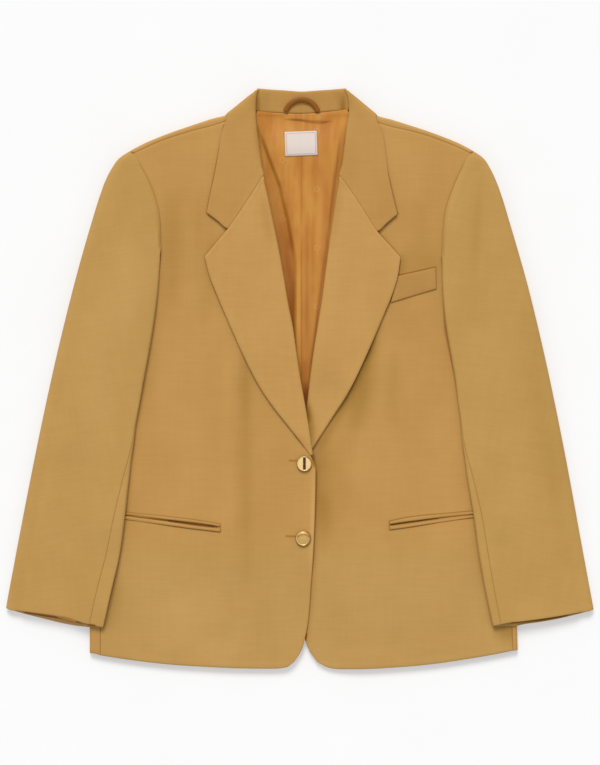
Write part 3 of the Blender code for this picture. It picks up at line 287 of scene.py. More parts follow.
# The crease under the loop: its line, the rise above it, and its ends with how softly they fade
NECK_CREASE = ((-16.2, 338), (2, 336.7), (14.3, 334.1), (28, 333.2), (39.1, 335.4))
CREASE_RISE = 1.8
CREASE_TOP = 347.0
CREASE_ENDS = (-24, 46, 14, 14)
# How the lining rises above the level where it meets the neck's seam
NECK_SEAM = 340.0
NECK_SEAM_RISE = 0.9
# How the neck's cloth climbs to the rolled edges: height, width, lowest level, growth upwards
NECK_RISE = 6.8
NECK_SPAN = 19.0
NECK_START = 296.0
NECK_GROWTH = 38.0
# The label: its thickness, size, middle and turn, how it bridges the centre seam, and how its
# lower corners curl up
LABEL = 0.6
LABEL_SIZE = (42.0, 32.0)
LABEL_CENTRE = (2.0, 306.2)
LABEL_TURN = math.radians(2.0)
LABEL_BRIDGE = 0.45
LABEL_CURL = 0.3
LOOP_CENTRE = (2.9, 341.5)
LOOP_RADIUS = 21.9
LOOP_START = math.radians(16.5)
LOOP_TUBE = (6.3, 3.0)
LOOP_BOW = 1.4
BUTTON_CENTRES = {"button_upper": (6.4, -110.0), "button_lower": (5.0, -207.0)}
BUTTON_ROOM = 0.25
WELT = ((177, 145), (127, 134), (178, 117), (118, 99))
# Pocket lines from the inner end to the outer end: x, top edge, slit, bottom edge
POCKETS = {
    "right": ((-103, -188.6, -193, -198.6), (-140, -182.6, -188.2, -194.4),
              (-177, -178.2, -183.3, -189.4), (-236, -172, -176, -181.4)),
    "left": ((117, -185, -190, -196), (140, -180, -187, -193), (165, -177, -183.5, -189),
             (234, -171, -175.5, -179)),
}
# Half the gape of each pocket's slit: x, half width
GAPE = {
    "right": ((-236, 0.5), (-200, 0.9), (-165, 1.4), (-140, 1.9), (-110, 2.1), (-103, 1.4)),
    "left": ((117, 1.3), (124, 1.7), (150, 1.5), (190, 1.3), (215, 0.8), (234, 0.5)),
}
JET_GAP = 0.55
def smooth(t):
    t = np.clip(t, 0.0, 1.0)
    return t * t * (3.0 - 2.0 * t)


def bell(value, centre, half):
    """1 at the centre, fading to both sides."""
    return np.exp(-((value - centre) / half) ** 2)


def between(value, low, high, fade_in, fade_out):
    """1 well between two values and 0 outside them, with a soft change at either end."""
    return smooth((value - low) / fade_in) * smooth((high - value) / fade_out)


def follow(table, value, column=1):
    """Read a table of rows, rising in their first column, along a smooth curve."""
    rows = np.array(table, dtype=float)
    known, wanted = rows[:, 0], rows[:, column]
    steps = np.diff(wanted) / np.diff(known)
    inner = np.where(steps[1:] * steps[:-1] > 0,
                     2 * steps[1:] * steps[:-1] / (steps[1:] + steps[:-1] + 1e-12), 0.0)
    slopes = np.concatenate((steps[:1], inner, steps[-1:]))
    at = np.clip(np.asarray(value, dtype=float), known[0], known[-1])
    low = np.clip(np.searchsorted(known, at) - 1, 0, len(known) - 2)
    span = known[low + 1] - known[low]
    t = (at - known[low]) / span
    start = wanted[low] * (1 + 2 * t) * (1 - t) ** 2 + slopes[low] * span * t * (1 - t) ** 2
    end = wanted[low + 1] * t * t * (3 - 2 * t) - slopes[low + 1] * span * t * t * (1 - t)
    return start + end


def line_at(table, levels):
    """Points of an edge that runs up the garment, at the given levels."""
    return np.column_stack((follow(table, levels), levels))


def curve(points, fractions):
    """Points at the given fractions of the length of a smooth curve through `points`."""
    known = np.array(points, dtype=float)
    ends = np.vstack((2 * known[0] - known[1], known, 2 * known[-1] - known[-2]))
    dense = []
    for before, start, end, after in zip(ends, ends[1:], ends[2:], ends[3:]):
        for t in np.linspace(0, 1, 16, endpoint=False):
            dense.append(0.5 * (2 * start + (end - before) * t
                                + (2 * before - 5 * start + 4 * end - after) * t ** 2
                                + (3 * start - before - 3 * end + after) * t ** 3))
    dense = np.array(dense + [known[-1]])
    length = np.concatenate(([0], np.cumsum(np.linalg.norm(np.diff(dense, axis=0), axis=1))))
    at = np.asarray(fractions, dtype=float) * length[-1]
    return np.column_stack([np.interp(at, length, axis) for axis in dense.T])


def even(count):
    return np.linspace(0.0, 1.0, count + 1)


def normals_of(line, sign):
    """Unit normals of a flat line, to the side that `sign` gives."""
    along = np.gradient(np.asarray(line, dtype=float), axis=0)
    across = np.column_stack((-along[:, 1], along[:, 0])) * sign
    return across / np.linalg.norm(across, axis=1)[:, None]


def coons(left, right, bottom, top, across):
    """Fill four edges with a grid: rows go from bottom to top, columns from left to right."""
    rows = len(left)
    s = np.asarray(across, dtype=float)[None, :, None]
    t = even(rows - 1)[:, None, None]
    ruled = (1 - s) * left[:, None] + s * right[:, None]
    crossed = (1 - t) * bottom[None] + t * top[None]
    corners = ((1 - t) * ((1 - s) * bottom[0] + s * bottom[-1])
               + t * ((1 - s) * top[0] + s * top[-1]))
    return ruled + crossed - corners


def with_height(plan, height):
    return np.concatenate((plan, np.asarray(height)[..., None]), axis=-1)


def front_height(x, y):
    """Mid-height of the right front, and of the left one before it sinks."""
    middle = follow(FRONT_HEIGHT, y, 1)
    side = follow(FRONT_HEIGHT, y, 2)
    height = middle + (side - middle) * np.clip(np.abs(x - CENTRE_BACK) / FRONT_HALF, 0, 1) ** 2
    for centre, low, high, half, rise in FRONT_FOLDS:
        height = height + rise * between(y, low, high, *FOLD_FADES) * bell(x, centre, half)
    return height


def panel_height(side, x, y):
    """Mid-height of one side's front panel."""
    height = front_height(x, y)
    if side is LEFT:
        depth = follow(LEFT_SINK, y)
        height = height - depth * smooth((SINK_EDGE - x) / SINK_FADE)
    return height


def on_panel(side, plan, *above):
    """Points of a plan, at the mid-height of a front panel and so much above it."""
    return with_height(plan, sum(above, panel_height(side, plan[..., 0], plan[..., 1])))


def back_height(x, y):
    """Mid-height of the back: flat, and a little raised over the collar's fall."""
    low = FOLD_TOP - FALL_DEPTH - FALL_RAMP
    raised = smooth((y - low) / FALL_RISE)
    raised = raised * smooth((FALL_HALF - np.abs(x - CENTRE_BACK)) / FALL_FADE)
    return CLOTH / 2 + (COLLAR + LAY_GAP) * raised


def turned(edge, inward, turn, low, high):
    """Points round a fold, from its top to its underside, for each point of the outline."""
    grid = []
    middle, half = (np.asarray(high) + low) / 2, (np.asarray(high) - low) / 2
    for angle in TURN_ANGLES:
        reach = CLOTH / 2 + (turn - CLOTH / 2) * (1 - math.cos(angle))
        grid.append(with_height(edge + inward * reach, middle + half * math.sin(angle)))
    return np.array(grid)


# --- Shared seams -------------------------------------------------------------------------

def side_seam(side):
    """The side fold with the side seam at its end: one row for each level, seam first."""
    levels = np.linspace(side["hem"][0][1], UNDERARM, SIDE_ROWS + 1)
    edge = line_at(side["side_edge"], levels)
    inward = normals_of(edge, side["sign"])
    seam = edge + inward * side["side_wrap"]
    edge[0, 1] += side["corner_rise"]
    seam = on_panel(side, seam)
    fold = turned(edge, inward, SIDE_TURN, CLOTH / 2, seam[:, 2])
    return np.concatenate((seam[None], fold)).transpose(1, 0, 2)


def shoulder_seam(side):
    """The shoulder fold with the shoulder seam at its end, from the armhole to the neck."""
    seam = curve(side["shoulder_seam"][::-1], FRONT_COLUMNS)
    edge = curve(side["shoulder_edge"][::-1], FRONT_COLUMNS)
    inward = -normals_of(edge, -side["sign"])
    inward = inward * np.sign(-inward[:, 1])[:, None]
    seam = on_panel(side, seam)
    low = back_height(*(edge + inward * SHOULDER_TURN).T)
    return np.concatenate((seam[None], turned(edge, inward, SHOULDER_TURN, low, seam[:, 2])))


def armhole(side):
    """The armhole's stretches: hidden front, seen front, over the shoulder, and back."""
    hidden = curve(side["armhole_hidden"], even(HIDDEN_ROWS))
    seen = curve(side["armhole_seen"], ARMHOLE_SEEN)
    fold = side_seam(side)[-1]
    shoulder = shoulder_seam(side)[:, 0]
    lower = curve(side["armhole_back"][:5], even(CAP_ROWS))
    upper = curve(side["armhole_back"][4:], SHOULDER_SEEN)
    back = np.vstack((lower, upper[1:]))
    back[-1] = shoulder[-1, :2]
    back[0] = fold[-1, :2]
    hidden[0] = fold[0, :2]
    return {"hidden": on_panel(side, hidden), "seen": on_panel(side, seen), "over": shoulder,
            "back": with_height(back, back_height(*back.T))}


def hind_seam(side, outer, inward, hole):
    """The hind seam on a sleeve's underside, from the cuff up to the back of the armhole."""
    low = (outer + inward * HIND_REACH)[:CUFF_ROWS + 1]
    top = hole["back"][CAP_ROWS + 1, :2]
    high = curve((low[-1], *side["hind_top"], top), even(CAP_ROWS))
    return np.vstack((low, high[1:]))


# --- Body panels --------------------------------------------------------------------------

def front_grid(side):
    hole = armhole(side)
    seam = side_seam(side)[:, 0]
    outer = np.vstack((seam[:, :2], hole["hidden"][1:, :2], hole["seen"][1:, :2]))
    edge = side["front_edge"]
    levels = np.array((edge[0][0], *EDGE_LEVELS, edge[-1][0]), dtype=float)
    x = follow(edge, levels) + side["sign"] * roll_room(side, levels)
    inner = np.column_stack((x, levels))
    hem = curve(side["hem"], FRONT_COLUMNS)
    hem[-1] = inner[0]
    hem[0] = outer[0]
    shoulder = shoulder_seam(side)[0][:, :2].copy()
    shoulder[-1] = inner[-1]
    grid = on_panel(side, coons(outer, inner, hem, shoulder, FRONT_COLUMNS))
    grid[:SIDE_ROWS + 1, 0] = seam
    grid[-1] = shoulder_seam(side)[0]
    return whole(grid)


def roll_room(side, levels):
    """How far the front's edge stays inside the lapel's and collar's rolled edge."""
    start, full = side["roll_starts"]
    return (LAPEL + LAY_GAP + ROLL_ROOM) * smooth((np.asarray(levels) - start) / (full - start))


def back_grid(side):
    """The back half: flat, with a flap round the side and another over the shoulder."""
    hole = armhole(side)
    side_fold = side_seam(side)
    shoulder = shoulder_seam(side)[:, ::-1]
    flaps = len(TURN_ANGLES)
    neck = shoulder[-1, 0, :2]
    neckline = curve(((CENTRE_BACK, 349), (neck[0] * 0.55, 350), tuple(neck)), even(NECK_COLUMNS))
    top = np.vstack((neckline, shoulder[-1, 1:, :2]))
    outer = np.vstack((side_fold[:, -1, :2], hole["back"][1:, :2]))
    levels = np.linspace(side["back_hem"][0][1], neckline[0, 1], len(outer))
    centre = np.column_stack((np.full(len(outer), CENTRE_BACK), levels))
    across = np.concatenate(([0, 0.12], 0.24 + 0.76 * (1 - np.array(FRONT_COLUMNS[::-1]))))
    hem = curve(side["back_hem"], across)
    hem[-1] = outer[0]
    plan = coons(centre, outer, hem, top, across)
    rows, columns = plan.shape[0], plan.shape[1]
    grid = np.zeros((rows + flaps, columns + flaps, 3))
    grid[:rows, :columns] = with_height(plan, back_height(plan[..., 0], plan[..., 1]))
    grid[:SIDE_ROWS + 1, columns - 1:] = side_fold[:, ::-1]
    grid[rows - 1:, NECK_COLUMNS:columns] = shoulder[::-1]
    cells = np.zeros((rows + flaps - 1, columns + flaps - 1), dtype=bool)
    cells[:rows - 1, :columns - 1] = True
    cells[:SIDE_ROWS, columns - 1:] = True
    cells[rows - 1:, NECK_COLUMNS:columns - 1] = True
    return grid, cells


# --- Sleeves ------------------------------------------------------------------------------

def sleeve_frame(side):
    """Both edges of a sleeve, row by row from the cuff, with the seams and heights on them."""
    hole = armhole(side)
    rows = CUFF_ROWS + CAP_ROWS
    top = side["inner"][-1][0]
    low_out = np.linspace(side["outer"][0][0], STRAIGHT_TOP, CUFF_ROWS + 1)
    low_in = np.linspace(side["inner"][0][0], UNDERARM, CUFF_ROWS + 1)
    high_in = np.linspace(UNDERARM, top - CAP_STEP, CAP_ROWS)[1:]
    outer = line_at(side["outer"], np.concatenate((low_out, CAP_LEVELS)))
    inner = line_at(side["inner"], np.concatenate((low_in, high_in, [top])))
    to_body = normals_of(outer, side["sign"])
    to_sleeve = -normals_of(inner, side["sign"])
    under = side_clear(side, *inner.T)
    return {
        "rows": rows, "outer": outer, "inner": inner, "to_body": to_body,
        "to_sleeve": to_sleeve, "inner_low": under,
        "inner_high": under + follow(SLEEVE_INNER, inner[:, 1]),
        "outer_high": follow(SLEEVE_OUTER, outer[:, 1]),
        "seam": follow(side["forearm"], inner[:, 1]),
        "hind": hind_seam(side, outer, to_body, hole), "hole": hole,
    }


def inner_point(frame, row, along):
    """A point of the inner fold's section: `along` is below 0 underneath and above 0 on top."""
    low, high = frame["inner_low"][row], frame["inner_high"][row]
    turn = min(abs(along) / INNER_ARC, 1.0) * math.pi / 2
    reach = CLOTH / 2 + (INNER_TURN - CLOTH / 2) * (1 - math.cos(turn))
    reach += max(abs(along) - INNER_ARC, 0.0)
    height = (low + high) / 2 + math.copysign((high - low) / 2 * math.sin(turn), along)
    plan = frame["inner"][row] + frame["to_sleeve"][row] * reach
    return np.array((plan[0], plan[1], height))


def top_sleeve_grid(side):
    frame = sleeve_frame(side)
    rows, hole = frame["rows"], frame["hole"]
    start = np.array([[inner_point(frame, row, frame["seam"][row] + step) for step in SEAM_STEPS]
                      for row in range(rows + 1)])
    fold = turned(frame["outer"], frame["to_body"], SLEEVE_TURN, CLOTH / 2, frame["outer_high"])
    beside = with_height(frame["outer"] + frame["to_body"] * (SLEEVE_TURN + FACE_REACH),
                         frame["outer_high"] + FACE_RISE)
    seen = hole["seen"]
    first = tuple(start[0, 2, :2])
    rest = tuple(point for point in side["cuff"] if abs(point[0]) > abs(first[0]) + CUFF_STEP)
    cuff = curve((first,) + rest, even(5))
    cuff = with_height(cuff, np.linspace(start[0, 2, 2], beside[0, 2], 6))
    cuff[0], cuff[-1] = start[0, 2], beside[0]
    left, right = start[:, 2].copy(), beside.copy()
    left[-1], right[-1] = seen[2], seen[-1]
    face = coons(left, right, cuff, seen[2:], even(5))
    face[..., 2] += CROWN * (np.sin(math.pi * even(5)) * smooth(even(rows)[::-1, None] * 5))
    hind = with_height(frame["hind"], np.full(rows + 1, CLOTH / 2))
    back = hole["back"]
    under_top = back[[-1, -2, -3]]
    under_cuff = np.array((fold[-1, 0], (fold[-1, 0] + hind[0]) / 2, hind[0]))
    under = coons(fold[-1], hind, under_cuff, under_top, even(2))
    under[..., 2] = np.maximum(under[..., 2], CLOTH / 2)
    grid = np.zeros((rows + 1, 15, 3))
    grid[:, :2] = start[:, :2]
    grid[:, 2:8] = face
    grid[:, 8:13] = fold.transpose(1, 0, 2)
    grid[:, 12:] = under
    grid[-1] = np.vstack((seen, hole["over"][1:], under_top[1:]))
    droop_cuff(grid, side, 8)
    return whole(grid)


def droop_cuff(grid, side, first_under):
    """Let the cuff's lower layer reach past the upper one."""
    end = grid[0, first_under:]
    reach = np.interp(end[:, 0], *np.array(sorted(side["cuff_under"])).T)
    low = np.clip((DROOP_TOP - end[:, 2]) / DROOP_SPAN, 0, 1)
    end[:, 1] += (np.minimum(reach, end[:, 1]) - end[:, 1]) * low


def under_sleeve_grid(side):
    """The under sleeve: on the ground, over the body's side, on the front and round the fold."""
    frame = sleeve_frame(side)
    rows, hole = frame["rows"], frame["hole"]
    toward = -side["sign"]
    turn = side_seam(side)[-1, 3]
    grid = np.zeros((rows + 1, 13, 3))
    for row in range(rows + 1):
        hind = frame["hind"][row]
        turn_in = inner_point(frame, row, TURN_IN)
        if row <= CUFF_ROWS:
            ramp = []
            for reach in RAMP:
                share = 0.5
                for _ in range(4):
                    y = hind[1] + (turn_in[1] - hind[1]) * share
                    x = follow(side["side_edge"], y) + toward * reach
                    share = (x - hind[0]) / (turn_in[0] - hind[0])
                ramp.append((float(x), float(y)))
            if row == CUFF_ROWS:
                ramp = [(turn[0] + toward * reach, turn[1]) for reach in UNDERARM_RAMP]
            foot, mid, over = ramp
        else:
            foot = mid = hole["back"][row - CUFF_ROWS, :2]
            level = frame["inner"][row, 1]
            reach = np.interp(level, hole["hidden"][:, 1], hole["hidden"][:, 0])
            over = (side["sign"] * max(abs(reach), abs(turn_in[0]) + OVER_STEP), level)
        for column, share in enumerate(even(3)):
            grid[row, column] = (*(hind + (np.array(foot) - hind) * share), CLOTH / 2)
        top = side_clear(side, *over) + RAMP_ROOM
        grid[row, 4] = (*mid, CLOTH / 2 + (top - CLOTH / 2) * RAMP_MIDDLE)
        grid[row, 5] = (*over, top)
        half = (grid[row, 5] + turn_in) / 2
        half[2] = max(half[2], side_clear(side, *half[:2]))
        grid[row, 6] = half
        for column, along in enumerate(np.linspace(TURN_IN, frame["seam"][row], 6)):
            grid[row, 7 + column] = inner_point(frame, row, along)
    droop_cuff(grid, side, 0)
    cells = np.ones((rows, 12), dtype=bool)
    cells[CUFF_ROWS:, 3:5] = False
    cells[rows - 1, 3:] = False
    return grid, cells


def side_clear(side, x, y):
    """Mid-height of a sleeve's under layer where it lies on the front."""
    return panel_height(side, x, y) + follow(SLEEVE_LIFT, y)


def sleeve_lining_grid():
    """The end of the right sleeve's lining, lying in the cuff on its lower layer."""
    low = curve(SLEEVE_LINING, even(4))
    plan = np.array([low + np.array(SLEEVE_LINING_RUN) * share for share in even(2)])
    return whole(with_height(plan, np.full(plan.shape[:2], CLOTH + LAY_GAP + LINING / 2)))


# --- Lapels and collar --------------------------------------------------------------------

def lapel_height(side, plan, across, up):
    """Mid-height of the lapel: it swells beside the roll and lifts a little at its edge."""
    inside = 1 - across
    lift = LAPEL_LIFT * smooth(inside * LIFT_STEEP) * smooth(up / LIFT_GROWTH)
    swell = LAPEL_SWELL * bell(inside, SWELL_AT, SWELL_HALF) * smooth(up / SWELL_GROWTH)
    ground = panel_height(side, plan[..., 0], plan[..., 1])
    return ground + CLOTH / 2 + LAY_GAP + LAPEL / 2 + lift + swell


def lapel_grid(side):
    """The lapel: its face from the outer edge to the roll, then down in front of the roll."""
    foot = side["lapel_foot"]
    levels = foot + (side["gorge"][0][1] - foot) * even(LAPEL_ROWS)
    inset = side["sign"] * (LAPEL / 2)
    roll = line_at(side["front_edge"], levels) + (inset, 0)
    outer = curve(side["lapel_outer"][::-1], even(LAPEL_ROWS))
    gorge = curve(side["gorge"][::-1], GORGE_SHARES)
    top = np.vstack((outer[-1], (outer[-1] + gorge[0]) / 2, gorge, roll[-1]))
    across = np.array(LAPEL_COLUMNS) / LAPEL_COLUMNS[-1]
    bottom = outer[0] + (roll[0] - outer[0]) * across[:, None]
    plan = coons(outer, roll, bottom, top, across)
    face = with_height(plan, lapel_height(side, plan, across, even(LAPEL_ROWS)[:, None]))
    edge = face[:, -1].copy()
    face[:, -1, 0] += side["sign"] * ROLL
    turn = edge + (side["sign"] * ROLL * TURN_SHARE, 0, -ROLL * TURN_SHARE)
    drop = edge - (0, 0, ROLL)
    end = edge.copy()
    end[:, 2] = np.minimum(panel_height(side, *edge[:, :2].T), drop[:, 2] - LAPEL_TUCK)
    return whole(np.concatenate((face, np.stack((turn, drop, end), axis=1)), axis=1))


def collar_half(side):
    """Half of the collar's leaf, from the wing's end round the neck to the centre back."""
    inset = COLLAR / 2 + ROLL
    corner = np.array(side["collar_corner"], dtype=float)
    shoulder = np.array(side["collar_outer"][0], dtype=float)
    inward = np.array((-side["sign"] * SLOPE[0], -SLOPE[1]))
    levels = np.linspace(side["gorge"][0][1] + 1.0, corner[1] - WING_TOP, WING_ROWS + 1)
    fold = line_at(side["front_edge"], levels) + (side["sign"] * inset, 0)
    fold[-1] = corner + (side["sign"] * (inset + 0.5), -SHOULDER_TURN - 3)
    outer = curve(side["collar_outer"][::-1], even(WING_ROWS))
    outer[-1] = shoulder + inward * SHOULDER_TURN
    shares = np.array(COLLAR_COLUMNS)
    gorge = curve(side["gorge"][::-1], even(2)) + (side["sign"] * GORGE_GAP[0], GORGE_GAP[1])
    end = np.vstack((outer[0], (outer[0] + gorge[0]) / 2, gorge))
    end[-1] = fold[0]
    silhouette = shoulder + (corner - shoulder) * shares[:, None]
    silhouette[-1] = corner + (side["sign"] * inset * 0.7, -inset * 0.7)
    top = silhouette + inward * SHOULDER_TURN
    top[0], top[-1] = outer[-1], fold[-1]
    wing = coons(outer, fold, end, top, shares)
    up = WING_UP * even(WING_ROWS)[::-1, None]
    wing = with_height(wing, lapel_height(side, wing, shares, up) - (LAPEL - COLLAR) / 2)
    around = turned(silhouette, inward, SHOULDER_TURN, COLLAR / 2, wing[-1, :, 2])
    centre = np.array((CENTRE_BACK, FOLD_TOP))
    fall_fold = curve((silhouette[-1] + inward * 1.5, centre - (0, inset)), even(FALL_ROWS))
    bend = centre + (side["sign"] * FALL_BEND[0], FALL_BEND[1] - FALL_DEPTH)
    fall_edge = curve((outer[-1], bend, centre - (0, FALL_DEPTH)), even(FALL_ROWS))
    fall = fall_edge[:, None] + (fall_fold - fall_edge)[:, None] * shares[:, None]
    around[-1, :, :2] = fall[0]
    fall = with_height(fall, np.full(fall.shape[:2], COLLAR / 2))
    return np.concatenate((wing, around[1:], fall[1:]))


def collar_grid():
    """The whole collar: leaf, rolled fold and, at the back neck, the stand."""
    leaf = np.concatenate((collar_half(RIGHT), collar_half(LEFT)[-2::-1]))
    rows = len(leaf)
    seam = SHOULDER_ROW
    back = slice(seam, rows - seam)
    feet = curve(STAND_FEET, even(2 * FALL_ROWS))
    toward = leaf[:, -1] - leaf[:, -2]
    toward[back, :2] = leaf[back, -1, :2] - feet
    toward[:, 2] = 0
    toward = toward / np.linalg.norm(toward, axis=1)[:, None]
    down = np.zeros((rows, 3))
    down[:, 2] = -1
    down[back, 2] = 1
    for first, last, side in ((seam - 4, seam, RIGHT), (rows - 1 - seam, rows + 3 - seam, LEFT)):
        for row in range(first + 1, last):
            share = (row - first) / (last - first)
            mixed = toward[first] * (1 - share) + toward[last] * share
            toward[row] = mixed / np.linalg.norm(mixed)
            angle = math.pi * share
            down[row] = (-side["sign"] * SLOPE[0] * math.sin(angle), -SLOPE[1] * math.sin(angle),
                         down[first, 2] * math.cos(angle))
    rim = leaf[:, -1]
    curl = [rim + toward * ROLL * math.sin(turn) + down * ROLL * (1 - math.cos(turn))
            for turn in CURL_ANGLES]
    over = rim + down * 2 * ROLL
    foot = over.copy()
    foot[back, :2] = feet
    foot[back, 2] = back_height(*feet.T) + CLOTH / 2 + LAY_GAP + COLLAR / 2
    grid = np.concatenate((leaf, np.stack(curl + [over, foot], axis=1)), axis=1)
    cells = np.zeros((rows - 1, grid.shape[1] - 1), dtype=bool)
    cells[:, :leaf.shape[1] + 2] = True
    cells[seam:rows - 1 - seam] = True
    return grid, cells


# --- Lining, trimmings and buttons --------------------------------------------------------

def neck_edge(side, y):
    """The roll edge of a front and, above it, of the collar."""
    corner = side["collar_corner"]
    return follow(side["front_edge"] + ((corner[1] - 3, corner[0]),), y)


def neck_lift(x, y):
    """How far the neck's cloth climbs to the rolled edges at both sides."""
    near = np.minimum(x - neck_edge(RIGHT, y), neck_edge(LEFT, y) - x)
    return NECK_RISE * (1 - smooth(near / NECK_SPAN)) * smooth((y - NECK_START) / NECK_GROWTH)


def fold_at(y):
    """The place of the lining's side fold at a level."""
    return np.interp(y, *np.array(LINING_FOLD[::-1]).T[::-1])


def lining_height(x, y):
    """Mid-height of the lining that shows in the neck."""
    ground = back_height(x, y) + CLOTH / 2 + LAY_GAP + LINING / 2
    main = smooth((x - fold_at(y) + FOLD_HALF) / (2 * FOLD_HALF))
    right = smooth((neck_edge(LEFT, y) + LINING_UNDER - x) / LINING_UNDER)
    rise = LINING_RISE * between(y, LINING_LOW, *LINING_ENDS)
    pleat = sum(share * smooth((x - start) / (end - start))
                for start, end, share in zip(PLEAT, PLEAT[1:], PLEAT_SHARES))
    pleat = pleat * PLEAT_RISE * smooth((PLEAT_START - y) / 50)
    seam = SEAM_SINK * bell(x, *SEAM) * smooth((y - SEAM_START) / 20)
    crease = np.interp(x, *np.array(NECK_CREASE).T)
    bulge = CREASE_RISE * between(x, *CREASE_ENDS) * smooth((y - crease) / 1.6 + 0.5)
    bulge = bulge * smooth((CREASE_TOP - y) / 8)
    waves = 0.45 * drift(x + 0.1 * y, y, 17, 110, 21) + 0.2 * drift(x, y, 9, 70, 23)
    waves = waves * smooth((NECK_SEAM - y) / 20)
    return (ground + main * right * rise + pleat * right + seam + bulge + waves
            + neck_lift(x, y) + NECK_SEAM_RISE * smooth((y - NECK_SEAM) / 5))


def lining_grid():
    """The back lining that shows in the neck, with its side fold, centre pleat and crease."""
    levels = np.concatenate([np.arange(*span) for span in LINING_LEVELS])
    feet = curve(STAND_FEET, even(40))
    rows = []
    for level in levels:
        reach = LINING_REACH * smooth((REACH_TOP - level) / REACH_FADE)
        left = follow(RIGHT["front_edge"], level) - reach
        right = follow(LEFT["front_edge"], level) + reach
        fold = float(fold_at(level))
        marks = [left, fold - FOLD_HALF, fold + FOLD_HALF, *PLEAT_MARKS, right]
        for place, count in enumerate(LINING_STEPS):
            marks[place + 1] = max(marks[place + 1], marks[place] + LEAST_STEP * count)
        parts = zip(marks, marks[1:], LINING_STEPS)
        x = np.concatenate([np.linspace(*part, endpoint=False) for part in parts] + [[right]])
        rise = np.interp(x, *feet.T) - FEET_GAP - levels[-1]
        rise = rise * smooth((level - NECKLINE_START) / NECKLINE_SPAN)
        rows.append(np.column_stack((x, level + rise)))
    plan = np.array(rows)
    return with_height(plan, lining_height(plan[..., 0], plan[..., 1]))


def label_grid():
    """The bare label, just above the lining."""
    u, v = np.meshgrid(LABEL_SIZE[0] * (even(28) - 0.5), LABEL_SIZE[1] * (even(21) - 0.5))
    x = LABEL_CENTRE[0] + u * math.cos(LABEL_TURN) - v * math.sin(LABEL_TURN)
    y = LABEL_CENTRE[1] + u * math.sin(LABEL_TURN) + v * math.cos(LABEL_TURN)
    height = lining_height(x, y) + LABEL_BRIDGE * bell(x, *SEAM)
    lifted = LAY_GAP + LABEL_CURL * smooth((np.abs(u) - 12) / 9) * smooth((14 - v) / 20)
    return np.stack((x, y, height + LINING / 2 + LABEL / 2 + lifted), axis=-1)


def welt_grid():
    """The breast pocket's welt, with its inner end under the lapel."""
    top = curve(WELT[:2], even(3))
    bottom = curve(WELT[2:], even(3))
    plan = np.array([bottom, (top + bottom) / 2, top])
    return whole(on_panel(LEFT, plan, CLOTH / 2, LAY_GAP, TRIM / 2))


def jet_grids(name):
    """The upper and the lower jet of one hip pocket, with the slit between them."""
    side = RIGHT if name == "right" else LEFT
    table = np.array(POCKETS[name], dtype=float)
    x = curve(table[:, :2], even(7))[:, 0]
    known, *lines = table[np.argsort(table[:, 0])].T
    upper, slit, lower = (np.interp(x, known, line) for line in lines)
    gape = np.interp(x, *np.array(GAPE[name]).T)
    for low, high in ((slit + gape, upper), (lower, slit - gape)):
        plan = np.stack([np.column_stack((x, line)) for line in (low, high)])
        yield on_panel(side, plan, CLOTH / 2, JET_GAP + TRIM / 2)


# --- Fine sheets --------------------------------------------------------------------------

# Spacing of the points and the fewest steps to an interval, the extra points beside an edge,
# how steep a curve may get against its neighbours, how many points in from an edge its inward
# direction is taken, and how near each other points count as one
SPACING = 3.6
LEAST_STEPS = 3
EDGE_STEPS = (0.5, 1.4)
LIMIT = 2.4
INWARD_STEPS = 3
COINCIDE = 0.0006


def fine_shares(lengths, spacing):
    """For each interval of a grid's side, the shares of its length at which fine points go."""
    plans = []
    for place, length in enumerate(lengths):
        count = max(LEAST_STEPS, int(round(length / spacing)))
        steps = [step / length for step in EDGE_STEPS if step < 0.7 * length]
        extra = steps * (place == 0) + [1 - step for step in steps] * (place == len(lengths) - 1)
        near = 0.5 / max(length, 1.0)
        shares = [share for share in np.arange(count) / count
                  if share == 0 or all(abs(share - other) > near for other in extra)]
        plans.append(np.array(sorted(shares + extra)))
    return plans


def smooth_between(points, used, plans):
    """Fine points along each line, on curves that neither overshoot nor leave the used stretches."""
    span = np.linalg.norm(np.diff(points, axis=1), axis=2)[..., None] + 1e-9
    slopes = np.pad(np.diff(points, axis=1) / span, ((0, 0), (1, 1), (0, 0)))
    on = np.pad(used, ((0, 0), (1, 1)))[..., None]
    low, high = slopes[:, :-1] * on[:, :-1], slopes[:, 1:] * on[:, 1:]
    both = on[:, :-1] & on[:, 1:]
    spans = np.pad(span, ((0, 0), (1, 1), (0, 0)))
    mean = (low * spans[:, 1:] + high * spans[:, :-1]) / (spans[:, 1:] + spans[:, :-1])
    limit = LIMIT * np.minimum(np.abs(low), np.abs(high))
    held = np.where(low * high > 0, np.clip(mean, -limit, limit), 0)
    tangent = np.where(both, held, low + high)
    parts = []
    for place, plan in enumerate(plans):
        t = plan[None, :, None]
        start, end = points[:, place, None], points[:, place + 1, None]
        reach = span[:, place, None]
        parts.append(start * (1 + 2 * t) * (1 - t) ** 2 + end * t * t * (3 - 2 * t)
                     + tangent[:, place, None] * reach * t * (1 - t) ** 2
                     - tangent[:, place + 1, None] * reach * t * t * (1 - t))
    parts.append(points[:, -1:])
    return np.concatenate(parts, axis=1)


def beside(cells, axis):
    """Along the lines across `axis`: whether a cell lies on either side of each stretch."""
    width = [(0, 0), (0, 0)]
    width[axis] = (1, 1)
    padded = np.pad(cells, width)
    if axis == 0:
        return padded[:-1] | padded[1:]
    return padded[:, :-1] | padded[:, 1:]


def whole(grid):
    """A grid with every one of its cells in use."""
    return grid, np.ones((grid.shape[0] - 1, grid.shape[1] - 1), dtype=bool)


def as_sheet(grid):
    return {"grid": grid, "cells": whole(grid)[1]}


